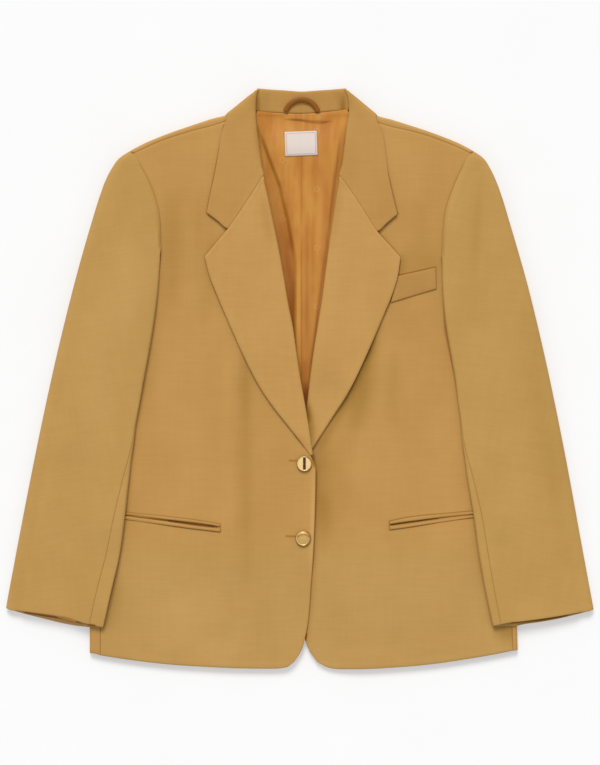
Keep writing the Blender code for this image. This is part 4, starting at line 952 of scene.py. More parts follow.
def refine(grid, cells, spacing=SPACING):
    """A fine sheet through a coarse grid: points, cells, and each point's row and column."""
    across = np.linalg.norm(np.diff(grid, axis=1), axis=2)
    along = np.linalg.norm(np.diff(grid, axis=0), axis=2)
    wide, long_ = beside(cells, 0), beside(cells, 1)
    widths = [float(across[wide[:, place], place].max()) for place in range(across.shape[1])]
    lengths = [float(along[place, long_[place]].max()) for place in range(along.shape[0])]
    columns, rows = fine_shares(widths, spacing), fine_shares(lengths, spacing)
    half = smooth_between(grid, wide, columns)
    used = []
    for place, plan in enumerate(columns):
        used += [long_[:, place], *[cells[:, place]] * (len(plan) - 1)]
    used = np.array(used + [long_[:, -1]])
    full = smooth_between(half.transpose(1, 0, 2), used, rows).transpose(1, 0, 2)
    row_counts, column_counts = ([len(plan) for plan in plans] for plans in (rows, columns))
    fine = np.repeat(np.repeat(cells, row_counts, axis=0), column_counts, axis=1)
    place_rows, place_columns = (
        np.concatenate([place + plan for place, plan in enumerate(plans)] + [[len(plans)]])
        for plans in (rows, columns))
    return {"grid": full, "cells": fine, "rows": place_rows, "columns": place_columns}


def point_use(cells):
    """How many cells meet at each point."""
    padded = np.pad(cells.astype(int), 1)
    return padded[:-1, :-1] + padded[1:, :-1] + padded[:-1, 1:] + padded[1:, 1:]


def border_distance(grid, cells):
    """How far each point lies from its piece's edge, along the grid's lines."""
    nearest = np.full(grid.shape[:2], 1e6)
    for axis in (0, 1):
        used = np.moveaxis(beside(cells, 1 - axis), axis, 0)
        steps = np.linalg.norm(np.diff(np.moveaxis(grid, axis, 0), axis=0), axis=2)
        for way in (slice(None), slice(None, None, -1)):
            walk = [np.zeros(steps.shape[1])]
            for step, on in zip(steps[way], used[way]):
                walk.append(np.where(on, walk[-1] + step, 0))
            nearest = np.minimum(nearest, np.moveaxis(np.array(walk)[way], 0, axis))
    return nearest


def sheet_normals(grid, cells):
    a, b = grid[:-1, :-1], grid[:-1, 1:]
    c, d = grid[1:, 1:], grid[1:, :-1]
    facing = np.cross(c - a, d - b) * cells[..., None]
    normals = np.zeros_like(grid)
    normals[:-1, :-1] += facing
    normals[:-1, 1:] += facing
    normals[1:, 1:] += facing
    normals[1:, :-1] += facing
    return normals / np.maximum(np.linalg.norm(normals, axis=-1, keepdims=True), 1e-12)


def draw_back(grid, cells, gap):
    """Move each outline point half a seam gap into its own piece."""
    moved = grid.copy()
    padded = np.pad(cells, 1)
    use = point_use(cells)
    for row, column in np.argwhere((use > 0) & (use < 3)):
        around = padded[row:row + 2, column:column + 2]
        for axis in (0, 1):
            first, second = around.any(axis=1 - axis)
            near = [row, column]
            near[axis] += -INWARD_STEPS if first else INWARD_STEPS
            if first != second and 0 <= near[axis] < grid.shape[axis]:
                along = grid[tuple(near)] - grid[row, column]
                moved[row, column] += along / max(np.linalg.norm(along), 1e-6) * gap / 2
    return moved


def shell(name, sheet, wall, edge, least):
    """The closed wall of a fine sheet, thinner at its edges, which so look turned and pressed."""
    cells = sheet["cells"]
    grid = draw_back(sheet["grid"], cells, SEAM_GAP)
    normals = sheet_normals(grid, cells)
    distance = border_distance(grid, cells)
    half = wall / 2 * (least + (1 - least) * smooth(distance / edge))
    use = point_use(cells)
    places = use > 0
    numbers = -np.ones(places.shape, dtype=int)
    count = int(places.sum())
    numbers[places] = np.arange(count)
    top = (grid + normals * half[..., None])[places]
    low = (grid - normals * half[..., None])[places]
    a, b = numbers[:-1, :-1][cells], numbers[:-1, 1:][cells]
    c, d = numbers[1:, 1:][cells], numbers[1:, :-1][cells]
    faces = np.concatenate((np.column_stack((a, b, c, d)),
                            np.column_stack((d, c, b, a)) + count))
    start, end = np.concatenate((a, b, c, d)), np.concatenate((b, c, d, a))
    rim_only = ~np.isin(start * count + end, end * count + start)
    start, end = start[rim_only], end[rim_only]
    rim = np.column_stack((end, start, start + count, end + count))
    made = mesh_object(name, np.concatenate((top, low)), np.concatenate((faces, rim)))
    add_value(made, "edge", np.concatenate((distance[places],) * 2))
    # Each point's share of painted light and shade, which its material reads
    painted_light = painted_light_at(name.rsplit("_", 1)[0], *grid.transpose(2, 0, 1))
    add_value(made, "painted_light", np.concatenate((painted_light[places],) * 2))
    if name.startswith("collar"):
        merge_points(made.data)
    return made


def merge_points(mesh):
    """Make one point of any that coincide."""
    work = bmesh.new()
    work.from_mesh(mesh)
    bmesh.ops.remove_doubles(work, verts=work.verts, dist=COINCIDE * MM)
    work.to_mesh(mesh)
    work.free()


def mesh_object(name, points, faces):
    """A smooth-shaded object from points in millimetres."""
    mesh = bpy.data.meshes.new(name)
    placed = (np.asarray(points, dtype=float) + (0, SHIFT, 0)) * MM
    mesh.from_pydata(placed.tolist(), [], [list(map(int, face)) for face in faces])
    mesh.update()
    mesh.shade_smooth()
    made = bpy.data.objects.new(name, mesh)
    bpy.context.scene.collection.objects.link(made)
    return made


def add_value(made, name, values):
    """A value for each point that its material can read."""
    layer = made.data.attributes.new(name, "FLOAT", "POINT")
    layer.data.foreach_set("value", np.asarray(values, dtype=np.float32))


# --- Relief and painted light -------------------------------------------------------------

# Soft folds by piece: start x and y, end x and y, half width, height
FOLDS = {
    "front_right": (
        (-150, 45, -146, 225, 13, 1.0), (-122, 60, -128, 215, 8, -1.0), (-172, 70, -160, 200, 9, -0.8),
        (-212, -330, -200, -20, 24, 1.4), (-160, -350, -158, -215, 20, -1.2), (-73, -320, -72, 60, 8, -1.3),
        (-30, -330, -22, -120, 12, 0.9), (-110, -360, -104, -230, 10, 0.8),
    ),
    "front_left": (
        (35, -60, 62, 10, 9, -0.8), (150, -140, 142, 40, 14, 1.0), (205, -330, 190, -40, 22, 1.4),
        (62, -120, 63, 5, 7, -1.4), (118, -350, 112, -215, 12, 1.0), (162, -350, 165, -220, 14, -1.0),
        (40, -340, 34, -130, 12, 0.8), (160, 160, 172, 245, 8, -0.8), (86, 20, 96, 55, 10, -1.8),
    ),
    "top_sleeve_right": (
        (-262, 150, -300, -140, 16, 1.2), (-225, 120, -268, -180, 10, -1.0),
        (-330, -20, -352, -250, 12, 0.9), (-236, 245, -222, 130, 9, -0.8),
    ),
    "top_sleeve_left": (
        (236, 262, 230, 130, 8, -1.8), (262, 150, 300, -140, 16, 1.2), (225, 110, 270, -190, 10, -1.0),
        (326, -10, 350, -240, 12, 0.9),
    ),
}
# Painted shade and painted highlight by piece: soft strokes that paint the cloth darker where shadow
# falls beside edges and in creases, and lighter where light catches, in the same form: start, end,
# half width, share lighter or darker
PAINTED_LIGHT_STROKES = {
    "front_right": (
        (-165, 110, -150, 262, 28, -0.06), (-124, 50, -118, 165, 7, -0.05), (-166, 90, -167, 250, 13, -0.11),
        (-133, 120, -131, 240, 5, -0.03), (-115, 70, -117, 255, 6, -0.045), (-68.5, -290, -69, 62, 8, -0.10),
        (-45, -360, -30, -40, 30, -0.012), (19.5, -102, 15, -270, 2.4, 0.16),
        (-160, -354, -60, -352, 14, 0.06), (-263, -316, -244, -316, 9, -0.10),
        (-93, -200, -92, 40, 9, 0.03), (-60, 30, -40, -20, 10, -0.03), (-193, 60, -205, -60, 13, -0.07),
        (-71, 50, -70, -60, 8, -0.09), (-185, -310, -90, -300, 40, 0.05),
        (-150, -110, -120, -210, 36, 0.035), (-243, -225, -244, -330, 9, -0.13),
        (-22, -180, -24, -330, 12, 0.03),
    ),
    "front_left": (
        (150, 130, 150, 245, 26, -0.02), (93, 66, 74, -76, 12, -0.24), (75, 60, 48, -160, 13, -0.06),
        (165, 165, 150, 240, 12, -0.03), (130, 152, 190, 150, 22, -0.15), (27, -52, 37, -220, 13, -0.18),
        (124, 46, 118, -66, 9, -0.09), (135, -110, 130, 40, 22, -0.02), (60, -100, 60, -180, 10, -0.05),
        (250, -322, 292, -330, 12, -0.26), (50, -356, 130, -353, 12, 0.06), (138, 60, 130, 135, 12, -0.04),
        (105, 75, 66, -20, 6, -0.28), (80, 10, 22, -98, 6, -0.22), (135, 165, 130, 118, 6, -0.14),
        (28, -130, 30, -230, 8, -0.08),
    ),
    "top_sleeve_left": (
        (236, 255, 224, 120, 6, -0.06), (290, 120, 338, -190, 12, -0.05), (262, 80, 290, -60, 16, 0.01),
        (262, 0, 300, -230, 14, 0.02), (330, -60, 348, -280, 20, -0.03),
    ),
    "top_sleeve_right": (
        (-210, 285, -250, 150, 14, -0.03), (-300, -60, -306, -210, 26, -0.03),
        (-236, 240, -214, 10, 19, 0.05), (-345, -270, -285, -300, 18, 0.04),
        (-262, 150, -272, -110, 34, 0.055),
    ),
    "breast_welt": ((118, 118, 178, 132, 30, -0.08),),
    "lapel_left": ((9, -30, 17, -92, 6, -0.35), (50, 270, 42, 180, 6, -0.10), (7, -18, 12, -60, 4, -0.4),
                   (54, 310, 8, -38, 1.8, -0.30)),
    "lapel_right": ((-52, 250, -36, 170, 5, -0.08), (-4, -70, 14, -94, 4, -0.10)),
    "collar": (
        (-60, 360, 66, 362, 14, -0.06), (-62, 370, -58, 345, 5, -0.06), (66, 372, 64, 345, 5, -0.06),
        (-55, 375, -53, 280, 3.4, -0.20), (56, 375, 53, 290, 3.4, -0.18),
        (-55, 380, -54.5, 338, 2.6, -0.25), (58, 374, 57, 322, 2.6, -0.25),
    ),
    "jet_upper_right": ((-242, -171, -190, -177, 4, -0.10),),
    "jet_upper_left": ((160, -178, 240, -169, 4, -0.08),),
    "back_lining": (
        (2.6, 336, 2.6, 170, 0.9, -0.28), (3.2, 195, 3.0, -60, 1.7, -0.20), (-2.2, 200, -2.6, -80, 2.2, 0.12),
        (-9, 200, -8, -60, 3, -0.30), (-28, 272, -10, 165, 6, -0.36), (-54, 336, -26, 262, 6, -0.16),
        (-44, 290, -14, 130, 8, -0.22), (-26, 225, -12, 60, 6, -0.14), (11, 260, 8, 30, 4.5, -0.22),
        (54.5, 330, 31.5, 142, 2.2, -0.45), (33.5, 168, 9.5, -38, 2.2, -0.42), (59, 350, 50, 236, 4, -0.16),
        (30, 300, 22, 120, 7, 0.12), (-10, 320, -3, 210, 4, 0.05), (-34, 345, 44, 343, 9, -0.10),
        (-17, 338.6, 20, 335.4, 1.0, -0.34), (10, 336, 44, 334.4, 1.0, -0.34),
        (5, 30, 5, -70, 9, -0.14), (8, 0, 9, -48, 4, -0.5),
        (-15, 185, -11, 55, 4.2, -0.27), (10, 140, 11.5, -10, 5, -0.18), (-24, 254, -15, 180, 5, 0.24),
        (39, 190, 30, 105, 4.5, -0.12),
    ),
}
# How much lighter or darker each cuff's inside is painted: painted light in the right one, painted
# shade in the left one; the height and the level below which it lies, and the height below which a
# sheet counts as its own underside
CUFF_PAINTED_LIGHT = {"right": 0.30, "left": -0.12}
CUFF_HEIGHT = 7.5
CUFF_TOP = -286
UNDERSIDE_TOP = 3.2
# How far in from a sheet's edge its soft folds have grown in, and the same for a front
DRAPE_FADE = 14
FRONT_FADE = 12
# How far in from the gorge a sheet's rows bend to its curve, and the column where that starts
MEET_REACH = 12
NOTCH = 2


def stroke(x, y, fold):
    """The height of one soft fold: a line that swells and fades along its length."""
    x0, y0, x1, y1, half, height = fold
    length = math.hypot(x1 - x0, y1 - y0)
    along = ((x - x0) * (x1 - x0) + (y - y0) * (y1 - y0)) / length ** 2
    off = ((x - x0) * (y1 - y0) - (y - y0) * (x1 - x0)) / length
    taper = np.sin(math.pi * np.clip(along, 0, 1)) ** 0.8
    return height * taper * bell(off, 0, half * (0.75 + 0.5 * taper))


def strokes(x, y, folds, start=0.0):
    """All of a piece's strokes, on top of what `start` gives."""
    total = np.zeros(np.shape(x)) + start
    for fold in folds:
        total = total + stroke(x, y, fold)
    return total


def drift(x, y, size_x, size_y, seed):
    """Smooth unevenness between -1 and 1, in patches of the given size."""
    table = np.random.default_rng(seed).uniform(-1, 1, (97, 89))
    u, v = x / size_x + 40, y / size_y + 40
    column, row = np.floor(u).astype(int), np.floor(v).astype(int)
    s, t = smooth(u - column), smooth(v - row)

    def corner(right, up):
        return table[(column + right) % 97, (row + up) % 89]

    return ((corner(0, 0) * (1 - s) + corner(1, 0) * s) * (1 - t)
            + (corner(0, 1) * (1 - s) + corner(1, 1) * s) * t)


def drape(node, x, y):
    """The unevenness that pressing and hanging leave in the shell cloth."""
    uneven = 0.22 * drift(x, y, 26, 150, 3) + 0.12 * drift(x, y, 60, 22, 5)
    return strokes(x, y, FOLDS.get(node, ()), uneven)


def painted_light_at(node, x, y, z):
    """Painted light and shade: the share by which a piece's cloth is painted lighter or darker at each point.
    """
    painted_light = strokes(x, y, PAINTED_LIGHT_STROKES.get(node, ()))
    if "sleeve" in node:
        inside = CUFF_PAINTED_LIGHT[node.rsplit("_", 1)[1]]
        painted_light = painted_light + inside * smooth((CUFF_HEIGHT - z) / 2) * smooth((CUFF_TOP - y) / 10)
    return painted_light


def lift(sheet, height):
    """Raise the parts of a sheet that face up; its folds and its underside keep their place."""
    normals = sheet_normals(sheet["grid"], sheet["cells"])
    facing = np.clip((np.abs(normals[..., 2]) - 0.55) / 0.35, 0, 1)
    upper = sheet["grid"][..., 2] > UNDERSIDE_TOP
    sheet["grid"][..., 2] += height * facing * upper


def settle(sheet, node, strength=1.0):
    """Give a sheet its soft folds. How far each of its points lies from its edge comes back."""
    grid = sheet["grid"]
    distance = border_distance(grid, sheet["cells"])
    lift(sheet, strength * drape(node, grid[..., 0], grid[..., 1]) * smooth(distance / DRAPE_FADE))
    return distance


def pressed_edge(distance, height):
    """The fullness that a pressed edge leaves just inside it."""
    return height * (1 - smooth((distance - 6) / 3)) * smooth(distance / 1.5)


def from_row(grid, row):
    """How far each point lies from the given end row, along its column."""
    way = slice(None) if row == 0 else slice(None, None, -1)
    steps = np.linalg.norm(np.diff(grid[way], axis=0), axis=2)
    return np.cumsum(np.pad(steps, ((1, 0), (0, 0))), axis=0)[way]


def meet(sheet, row, line):
    """Bring an end row onto a seam's curve, in plan, and let the shift fade inwards."""
    grid = sheet["grid"]
    dense = curve(line, even(300))
    points = grid[row, :, :2]
    nearest = np.linalg.norm(points[:, None] - dense[None], axis=2).argmin(axis=1)
    shift = dense[nearest] - points
    on = np.flatnonzero((nearest > 0) & (sheet["columns"] >= NOTCH))
    shift[:on[0]] = 0
    shift[on[-1] + 1:] = shift[on[-1]]
    fade = 1 - smooth(from_row(grid, row) / MEET_REACH)
    grid[..., :2] += fade[..., None] * shift[None]


# --- Pieces -------------------------------------------------------------------------------

# Flat cuts with their seam allowances: width, length and area in metres and square metres.
# A row without a side serves both.
CUTS = {
    "back": (0.31, 0.74, 0.205), "lapel": (0.14, 0.38, 0.028), "collar": (0.60, 0.10, 0.034),
    "front_left": (0.30, 0.75, 0.175), "front_right": (0.29, 0.75, 0.175),
    "top_sleeve": (0.20, 0.66, 0.10), "under_sleeve": (0.14, 0.58, 0.06),
    "jet_upper_left": (0.119, 0.010, 0.0006), "jet_lower_left": (0.119, 0.010, 0.0006),
    "jet_upper_right": (0.135, 0.010, 0.0006), "jet_lower_right": (0.135, 0.010, 0.0007),
    "breast_welt": (0.062, 0.034, 0.0015), "label": (0.042, 0.032, None),
    "back_lining": (0.15, 0.40, 0.036), "sleeve_lining": (0.044, 0.03, 0.0011),
}
# Walls by kind of piece: thickness, how far in it thins towards its edge, and to what share
WALLS = {
    "body": (CLOTH, 1.3, 0.5), "lapel": (LAPEL, 2.0, 0.4), "collar": (COLLAR, 1.8, 0.4),
    "welt": (TRIM, 1.6, 0.35), "jet": (TRIM, 1.2, 0.4), "lining": (LINING, 0.8, 0.5),
    "label": (LABEL, 0.8, 0.5),
}
# Fine spacing of the points, where it isn't SPACING
BACK_SPACING = 6.0
UNDER_SPACING = 5.0
LAPEL_SPACING = 3.0
WELT_SPACING = 1.5
JET_SPACING = 1.6
SLEEVE_LINING_SPACING = 4.0
# Heights that the fine sheets add: a pressed edge's fullness, the rise and sink of the fronts
# between the levels where they overlap (and how softly that ends), the fullness at the sleeve's
# head, the gorge, the welt with its stitching's dip, and the jets
EDGE_FULL = 0.25
LAPEL_EDGE_FULL = 0.2
OVERLAP_ENDS = (-262, -58, 30, 40)
OVERLAP_RISE = 1.2
OVERLAP_SINK = 1.8
HEAD_FULL = 1.1
GORGE_RISE = 0.4
WELT_FULL = 0.35
WELT_STITCH = 0.2
JET_FULL = 0.45
# The share of the neck's climb that each column of the collar's roll takes, and how far the
# collar's hidden foot tucks in beyond each shoulder
CLIMB_SHARES = (0, 0.15, 0.5, 0.85, 1.0)
COLLAR_TUCK = 5.5


def own(made, node, material):
    """Make a piece stand for its solid and ride with the garment, and look up its flat cut."""
    made.data.materials.append(material)
    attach(made, "root")
    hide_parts(node)
    cut = CUTS.get(node) or CUTS.get(node.rsplit("_", 1)[0])
    if cut:
        width, length, area = cut


def lay(node, sheet, wall, material, *rests_on, slot="shell_cloth"):
    """Make a piece of cloth from its sheet."""
    made = shell(node + "_" + slot.split("_")[1], sheet, *WALLS[wall])
    own(made, node, material)


def front(side, end, material):
    sheet = refine(*front_grid(side))
    grid = sheet["grid"]
    x, y = grid[..., 0], grid[..., 1]
    distance = border_distance(grid, sheet["cells"])
    height = panel_height(side, x, y) + drape("front_" + end, x, y) * smooth(distance / FRONT_FADE)
    height += pressed_edge(distance, EDGE_FULL)
    overlap = between(y, *OVERLAP_ENDS)
    past = x - follow(RIGHT["front_edge"], y)
    if side is RIGHT:
        height += OVERLAP_RISE * overlap * smooth((past + 16) / 14)
    else:
        height -= OVERLAP_SINK * overlap * (1 - smooth((past - 3) / 15))
    grid[..., 2] = height
    lay("front_" + end, sheet, "body", material, "back_" + end)


def top_sleeve(side, end, material):
    sheet = refine(*top_sleeve_grid(side))
    grid = sheet["grid"]
    settle(sheet, "top_sleeve_" + end)
    seam = from_row(grid, -1)
    head = HEAD_FULL * smooth(seam / 6) * (1 - smooth((seam - 8) / 16))
    lift(sheet, head * smooth((grid[..., 1] - 150) / 30))
    lay("top_sleeve_" + end, sheet, "body", material, "under_sleeve_" + end)


def lapel(side, end, material):
    sheet = refine(*lapel_grid(side), LAPEL_SPACING)
    meet(sheet, -1, side["gorge"])
    distance = settle(sheet, "lapel_" + end, 0.5)
    lift(sheet, pressed_edge(distance, LAPEL_EDGE_FULL))
    lay("lapel_" + end, sheet, "lapel", material, "front_" + end)


def collar(material):
    coarse, cells = collar_grid()
    last = len(cells)
    cells[SHOULDER_ROW - 2:last - SHOULDER_ROW + 2, -1] = True
    sheet = refine(coarse, cells, LAPEL_SPACING)
    grid = sheet["grid"]
    for row, side in ((0, RIGHT), (-1, LEFT)):
        meet(sheet, row, side["gorge"])
        grid[..., 2] += GORGE_RISE * (1 - smooth(from_row(grid, row) / 15))
    rows = np.minimum(sheet["rows"], last - sheet["rows"])[:, None]
    columns = sheet["columns"][None]
    leaf = len(COLLAR_COLUMNS)
    rising = np.interp(columns, leaf + np.arange(-1, 4), CLIMB_SHARES)
    climb = neck_lift(grid[..., 0], grid[..., 1]) * rising * np.clip((rows - WING_ROWS) / 4, 0, 1)
    grid[..., 2] += climb
    tuck = 1 - smooth((rows - SHOULDER_ROW + 0.4) / 0.6)
    tuck = COLLAR_TUCK * tuck * smooth((rows - WING_ROWS - 1) / 2)
    grid[..., 0] += np.sign(grid[..., 0]) * (tuck * smooth((columns - leaf - 2) / 1.5))
    settle(sheet, "collar", 0.5)
    lay("collar", sheet, "collar", material, "back_left", "back_right")


def welt(material):
    sheet = refine(*welt_grid(), WELT_SPACING)
    distance = border_distance(sheet["grid"], sheet["cells"])
    dip = WELT_STITCH * bell(distance, 3, 0.9)
    sheet["grid"][..., 2] += WELT_FULL * smooth(distance / 2.2) - dip
    lay("breast_welt", sheet, "welt", material, "front_left")


def jets(end, material):
    for part, grid in zip(("upper", "lower"), jet_grids(end)):
        sheet = refine(*whole(grid), JET_SPACING)
        sheet["grid"][..., 2] += JET_FULL * np.sin(math.pi * sheet["rows"])[:, None]
        lay("jet_" + part + "_" + end, sheet, "jet", material, "front_" + end)


def ring_object(name, rings):
    """A closed body through rings of points, with both ends capped."""
    count, levels = len(rings[0]), len(rings)
    faces = []
    for level in range(0, (levels - 1) * count, count):
        for place in range(count):
            a, b = level + place, level + (place + 1) % count
            faces.append((a, b, b + count, a + count))
    faces += [tuple(range(count))[::-1], tuple(range((levels - 1) * count, levels * count))]
    return mesh_object(name, np.array(rings).reshape(-1, 3), faces)


def hanger_loop(material):
    """A tube of oval section that bows up from the collar's stand."""
    ground = COLLAR + 2 * ROLL + 2 * LAY_GAP
    width, thick = LOOP_TUBE
    turns = 2 * math.pi * np.arange(20) / 20
    rings = []
    for share in even(60):
        angle = math.pi - LOOP_START - (math.pi - 2 * LOOP_START) * share
        outward = np.array((math.cos(angle), math.sin(angle), 0))
        centre = np.array((*LOOP_CENTRE, ground + thick / 2)) + LOOP_RADIUS * outward
        centre[2] += LOOP_BOW * (math.sin(angle) - math.sin(LOOP_START))
        rings.append([centre + outward * width / 2 * math.cos(turn)
                      + np.array((0, 0, thick / 2 * math.sin(turn))) for turn in turns])
    own(ring_object("hanger_loop_satin", rings), "hanger_loop", material)


# The buttons' face from its middle out, over the rim and under to the shank: radius, height
BUTTON_SCALE = 0.965
# The buttons are of one brass; the upper one's paler colour is painted light, for the brighter reflection its
# face shows
BUTTON_HUES = {"button_upper": (250, 218, 154), "button_lower": (246, 202, 122)}
BUTTON_FACE = (
    (0.4, 2.55), (1.2, 2.55), (2.4, 2.52), (3.6, 2.48), (4.8, 2.42), (6.0, 2.36), (7.0, 2.30),
    (7.6, 2.22), (7.9, 2.0), (8.1, 2.05), (8.4, 2.65), (8.8, 3.05), (9.3, 3.2), (9.8, 3.05),
    (10.2, 2.6), (10.45, 2.0), (10.5, 1.5), (10.3, 0.9), (9.8, 0.45), (8.6, 0.0), (5.0, -0.1),
    (1.6, -0.1),
)
# The rim's inner foot, where the face ends, and the level that only the upper side reaches
BUTTON_RIM = 8.6
BUTTON_UPPER_SIDE = 2
SHANK = 1.6


def button(name, material):
    """A rimmed brass button on its shank; the upper one has a slot across its face."""
    x, y = BUTTON_CENTRES[name]
    seat = float(panel_height(RIGHT, x, y)) + CLOTH / 2 + LAY_GAP + BUTTON_ROOM
    foot = float(panel_height(LEFT, x, y)) + CLOTH / 2 + LAY_GAP
    turns = 2 * math.pi * np.arange(72) / 72
    rings, painted_shade_and_patina = [], []
    for radius, height in BUTTON_FACE:
        px, py = BUTTON_SCALE * radius * np.cos(turns), BUTTON_SCALE * radius * np.sin(turns)
        level = np.full(len(turns), height)
        # Painted shade: the dark outline ring, the rim's right side away from the light and, on the lower
        # button, a darker face with a dark band under its top and a painted highlight above it, mottled at
        # random; the upper button's slot is painted dark, partly shade and partly patina in the hollow
        dark = np.full(len(turns), 0.8 if radius > 9.5 else 0.0)
        if radius > BUTTON_RIM:
            dark = np.maximum(dark, 0.7 * smooth(px / 5))
        if radius < 7.5 and height > BUTTON_UPPER_SIDE:
            level = level + 0.10 * drift(px, py, 0.9, 0.9, 11)
        if name == "button_upper":
            slot = smooth((2.0 - np.abs(px)) / 0.7) * smooth((8.4 - np.abs(py)) / 0.8)
            if height > BUTTON_UPPER_SIDE:
                level = level - 1.9 * slot
                dark = np.maximum(dark, 1.25 * slot)
        elif radius < BUTTON_RIM:
            arch = py + 0.055 * px * px - 5.2
            shade = 0.36 + 0.48 * bell(arch, 0, 0.9) - 0.32 * smooth((arch - 1.0) / 0.7)
            dark = np.maximum(dark, shade + 0.12 * drift(px, py, 1.5, 1.0, 13))
        rings.append(np.column_stack((x + px, y + py, seat + level)))
        painted_shade_and_patina.append(dark)
    rings.append(np.column_stack((x + SHANK * np.cos(turns), y + SHANK * np.sin(turns),
                                  np.full(len(turns), foot))))
    painted_shade_and_patina.append(np.zeros(len(turns)))
    made = ring_object(name + "_brass", rings[::-1])
    add_value(made, "painted_shade_and_patina", np.concatenate(painted_shade_and_patina[::-1]))
    own(made, name, material)


# --- Materials ----------------------------------------------------------------------------

# Colours as they show on a screen
FRONT_HUE = (186, 142, 78)
FRONT_LOW_HUE = (183, 143.5, 81)
FRONT_LOW_REACH = (-0.27, -0.18)
WEAVE_TURN = {"right": math.radians(-11), "left": math.radians(11)}
SLEEVE_HUE = {"right": (183, 143, 79), "left": (184, 144, 79)}
HUES = {"back": (184, 141, 78), "lapel": (190, 146, 82), "collar": (181, 137, 74),
        "welt": (181, 136, 75)}
# How dark each kind of piece is painted along its edges: partly its seams' own dark, partly painted shadow
RIMS = {"back": 0.35, "lapel": 0.0, "collar": 0.0, "welt": 0.5}
# How far the two tones of one wool lie from its colour
TONE_STEP = 2
SLUB = (156, 112, 56)
# Brown for the seams' own dark and for painted shadow along edges and beside lapels and sleeves
SEAM_AND_SHADOW_BROWN = (138, 78, 0)
# Darker brown for painted shade in the pockets' slits and in the gap between the fronts at the hem
SLIT_SHADOW_BROWN = (112, 62, 2)
# Painted shade in the lining's folds and valleys, and painted highlight on their edges
SATIN_PAINTED_SHADE = (134, 63, 2)
SATIN_PAINTED_HIGHLIGHT = (240, 178, 92)
BLOSSOM_HUE = (232, 180, 120)
BLOSSOM_STEPS = (0.090, 0.076)
BLOSSOM_SIZE = 0.0042
# Painted shadow on the fronts' cloth: dark lines beside the lapel, collar and sleeve edges and the
# right front's edge, painted shade in the pockets' slits and round their jets and welt, in the gap
# between the fronts at the hem and in the buttonholes' slits; points, half width where full, half
# width where gone, depth and, where it isn't the seam and shadow brown, the colour
PAINTED_SHADOW_LINES = {
    "right": (
        (((-98, 330), (-108, 280), (-120.5, 215.5)), 0.2, 1.8, 0.45),
        (((-120.5, 214.5), (-93, 195.5)), 0.5, 1.8, 0.35),
        (((-93, 195), (-123, 159), (-110, 116), (-57, -1)), 0.2, 2.0, 0.3),
        (((-57, -1), (-11, -66), (6, -87)), 0.5, 2.4, 0.15),
        (((4, -84), (11, -92.3), (16.4, -102), (19, -114)), 0.2, 1.5, 0.7),
        (((-6, -73), (6, -87), (15, -98)), 0.6, 3.2, 0.3),
        (((-183, 130), (-188, 73), (-199.5, 12)), 0.5, 5.0, 0.05),
        (((-202, 0), (-216, -88), (-226, -174), (-243, -274), (-254, -322)), 0.5, 8.0, 0.08),
        (((-232, -177), (-167, -184.7), (-107, -192.4)), 0.3, 1.3, 0.9, SLIT_SHADOW_BROWN),
        (((-170, -184.3), (-135, -189), (-112, -191.6)), 0.5, 2.3, 0.9, SLIT_SHADOW_BROWN),
        (((-236, -171.8), (-177, -178), (-140, -182.4), (-103, -188.4), (-102.6, -199),
          (-140, -194.6), (-177, -189.6), (-236, -181.6)), 0.1, 1.2, 0.45),
        (((-12.6, -106), (-3, -106.4)), 0.8, 2.0, 0.5),
        (((-17.2, -204.2), (-3, -204.8)), 0.8, 2.0, 0.5),
    ),
    "left": (
        (((102, 330), (115, 266), (127.5, 214.5)), 0.2, 2.0, 0.45),
        (((127.5, 214.5), (102, 192)), 0.5, 2.0, 0.6),
        (((101, 192), (131, 158), (128, 136), (118, 104), (95, 52)), 0.2, 2.2, 0.45),
        (((95, 52), (72, -1), (40, -54), (20, -88)), 0.5, 5.0, 0.1),
        (((188, 120), (190, 64), (203, 5), (217, -70), (222, -110)), 0.5, 4.0, 0.5),
        (((222, -110), (235, -235), (251, -321)), 0.5, 7.0, 0.12),
        (((118, -189.6), (165, -182.8), (232, -174.5)), 0.3, 1.3, 0.9, SLIT_SHADOW_BROWN),
        (((120, -189.3), (140, -186.4), (180, -181)), 0.4, 1.9, 0.9, SLIT_SHADOW_BROWN),
        (((234, -170.4), (165, -176.6), (140, -179.8), (116.6, -184.6), (116.6, -196),
          (140, -193), (165, -189), (234, -179)), 0.1, 1.2, 0.6),
        (((177.3, 145.4), (127, 134.4)), 0.2, 1.6, 0.6),
        (((8.4, -332), (7.4, -340)), 0.9, 2.4, 0.95, SLIT_SHADOW_BROWN),
        (((18, -99), (21, -118), (21, -152), (18, -216), (14, -280), (8.6, -336)), 0.3, 2.8, 0.45),
        (((18, -99), (21, -118), (21, -152), (18, -216), (14, -280), (8, -340)), 0.3, 9.0, 0.2),
    ),
}

# The painted shadow inside each cuff: a dark line under the top sleeve's edge
CUFF_SHADOW_LINES = {
    "right": ((((-361, -303.2), (-331, -308.3), (-309, -311.2), (-296, -315), (-280, -317.6),
                (-266, -320)), 0.4, 2.0, 0.75, (120, 58, 6)),),
    "left": ((((276, -316.4), (312, -313.4), (338, -309.3), (348, -307)), 0.6, 2.2, 0.8,
              (112, 60, 8)),),
}


def linear(colour):
    """A colour given as it shows on a screen, from 0 to 255."""
    return tuple(((c / 255 + 0.055) / 1.055) ** 2.4 if c > 10 else c / 255 / 12.92
                 for c in colour) + (1.0,)


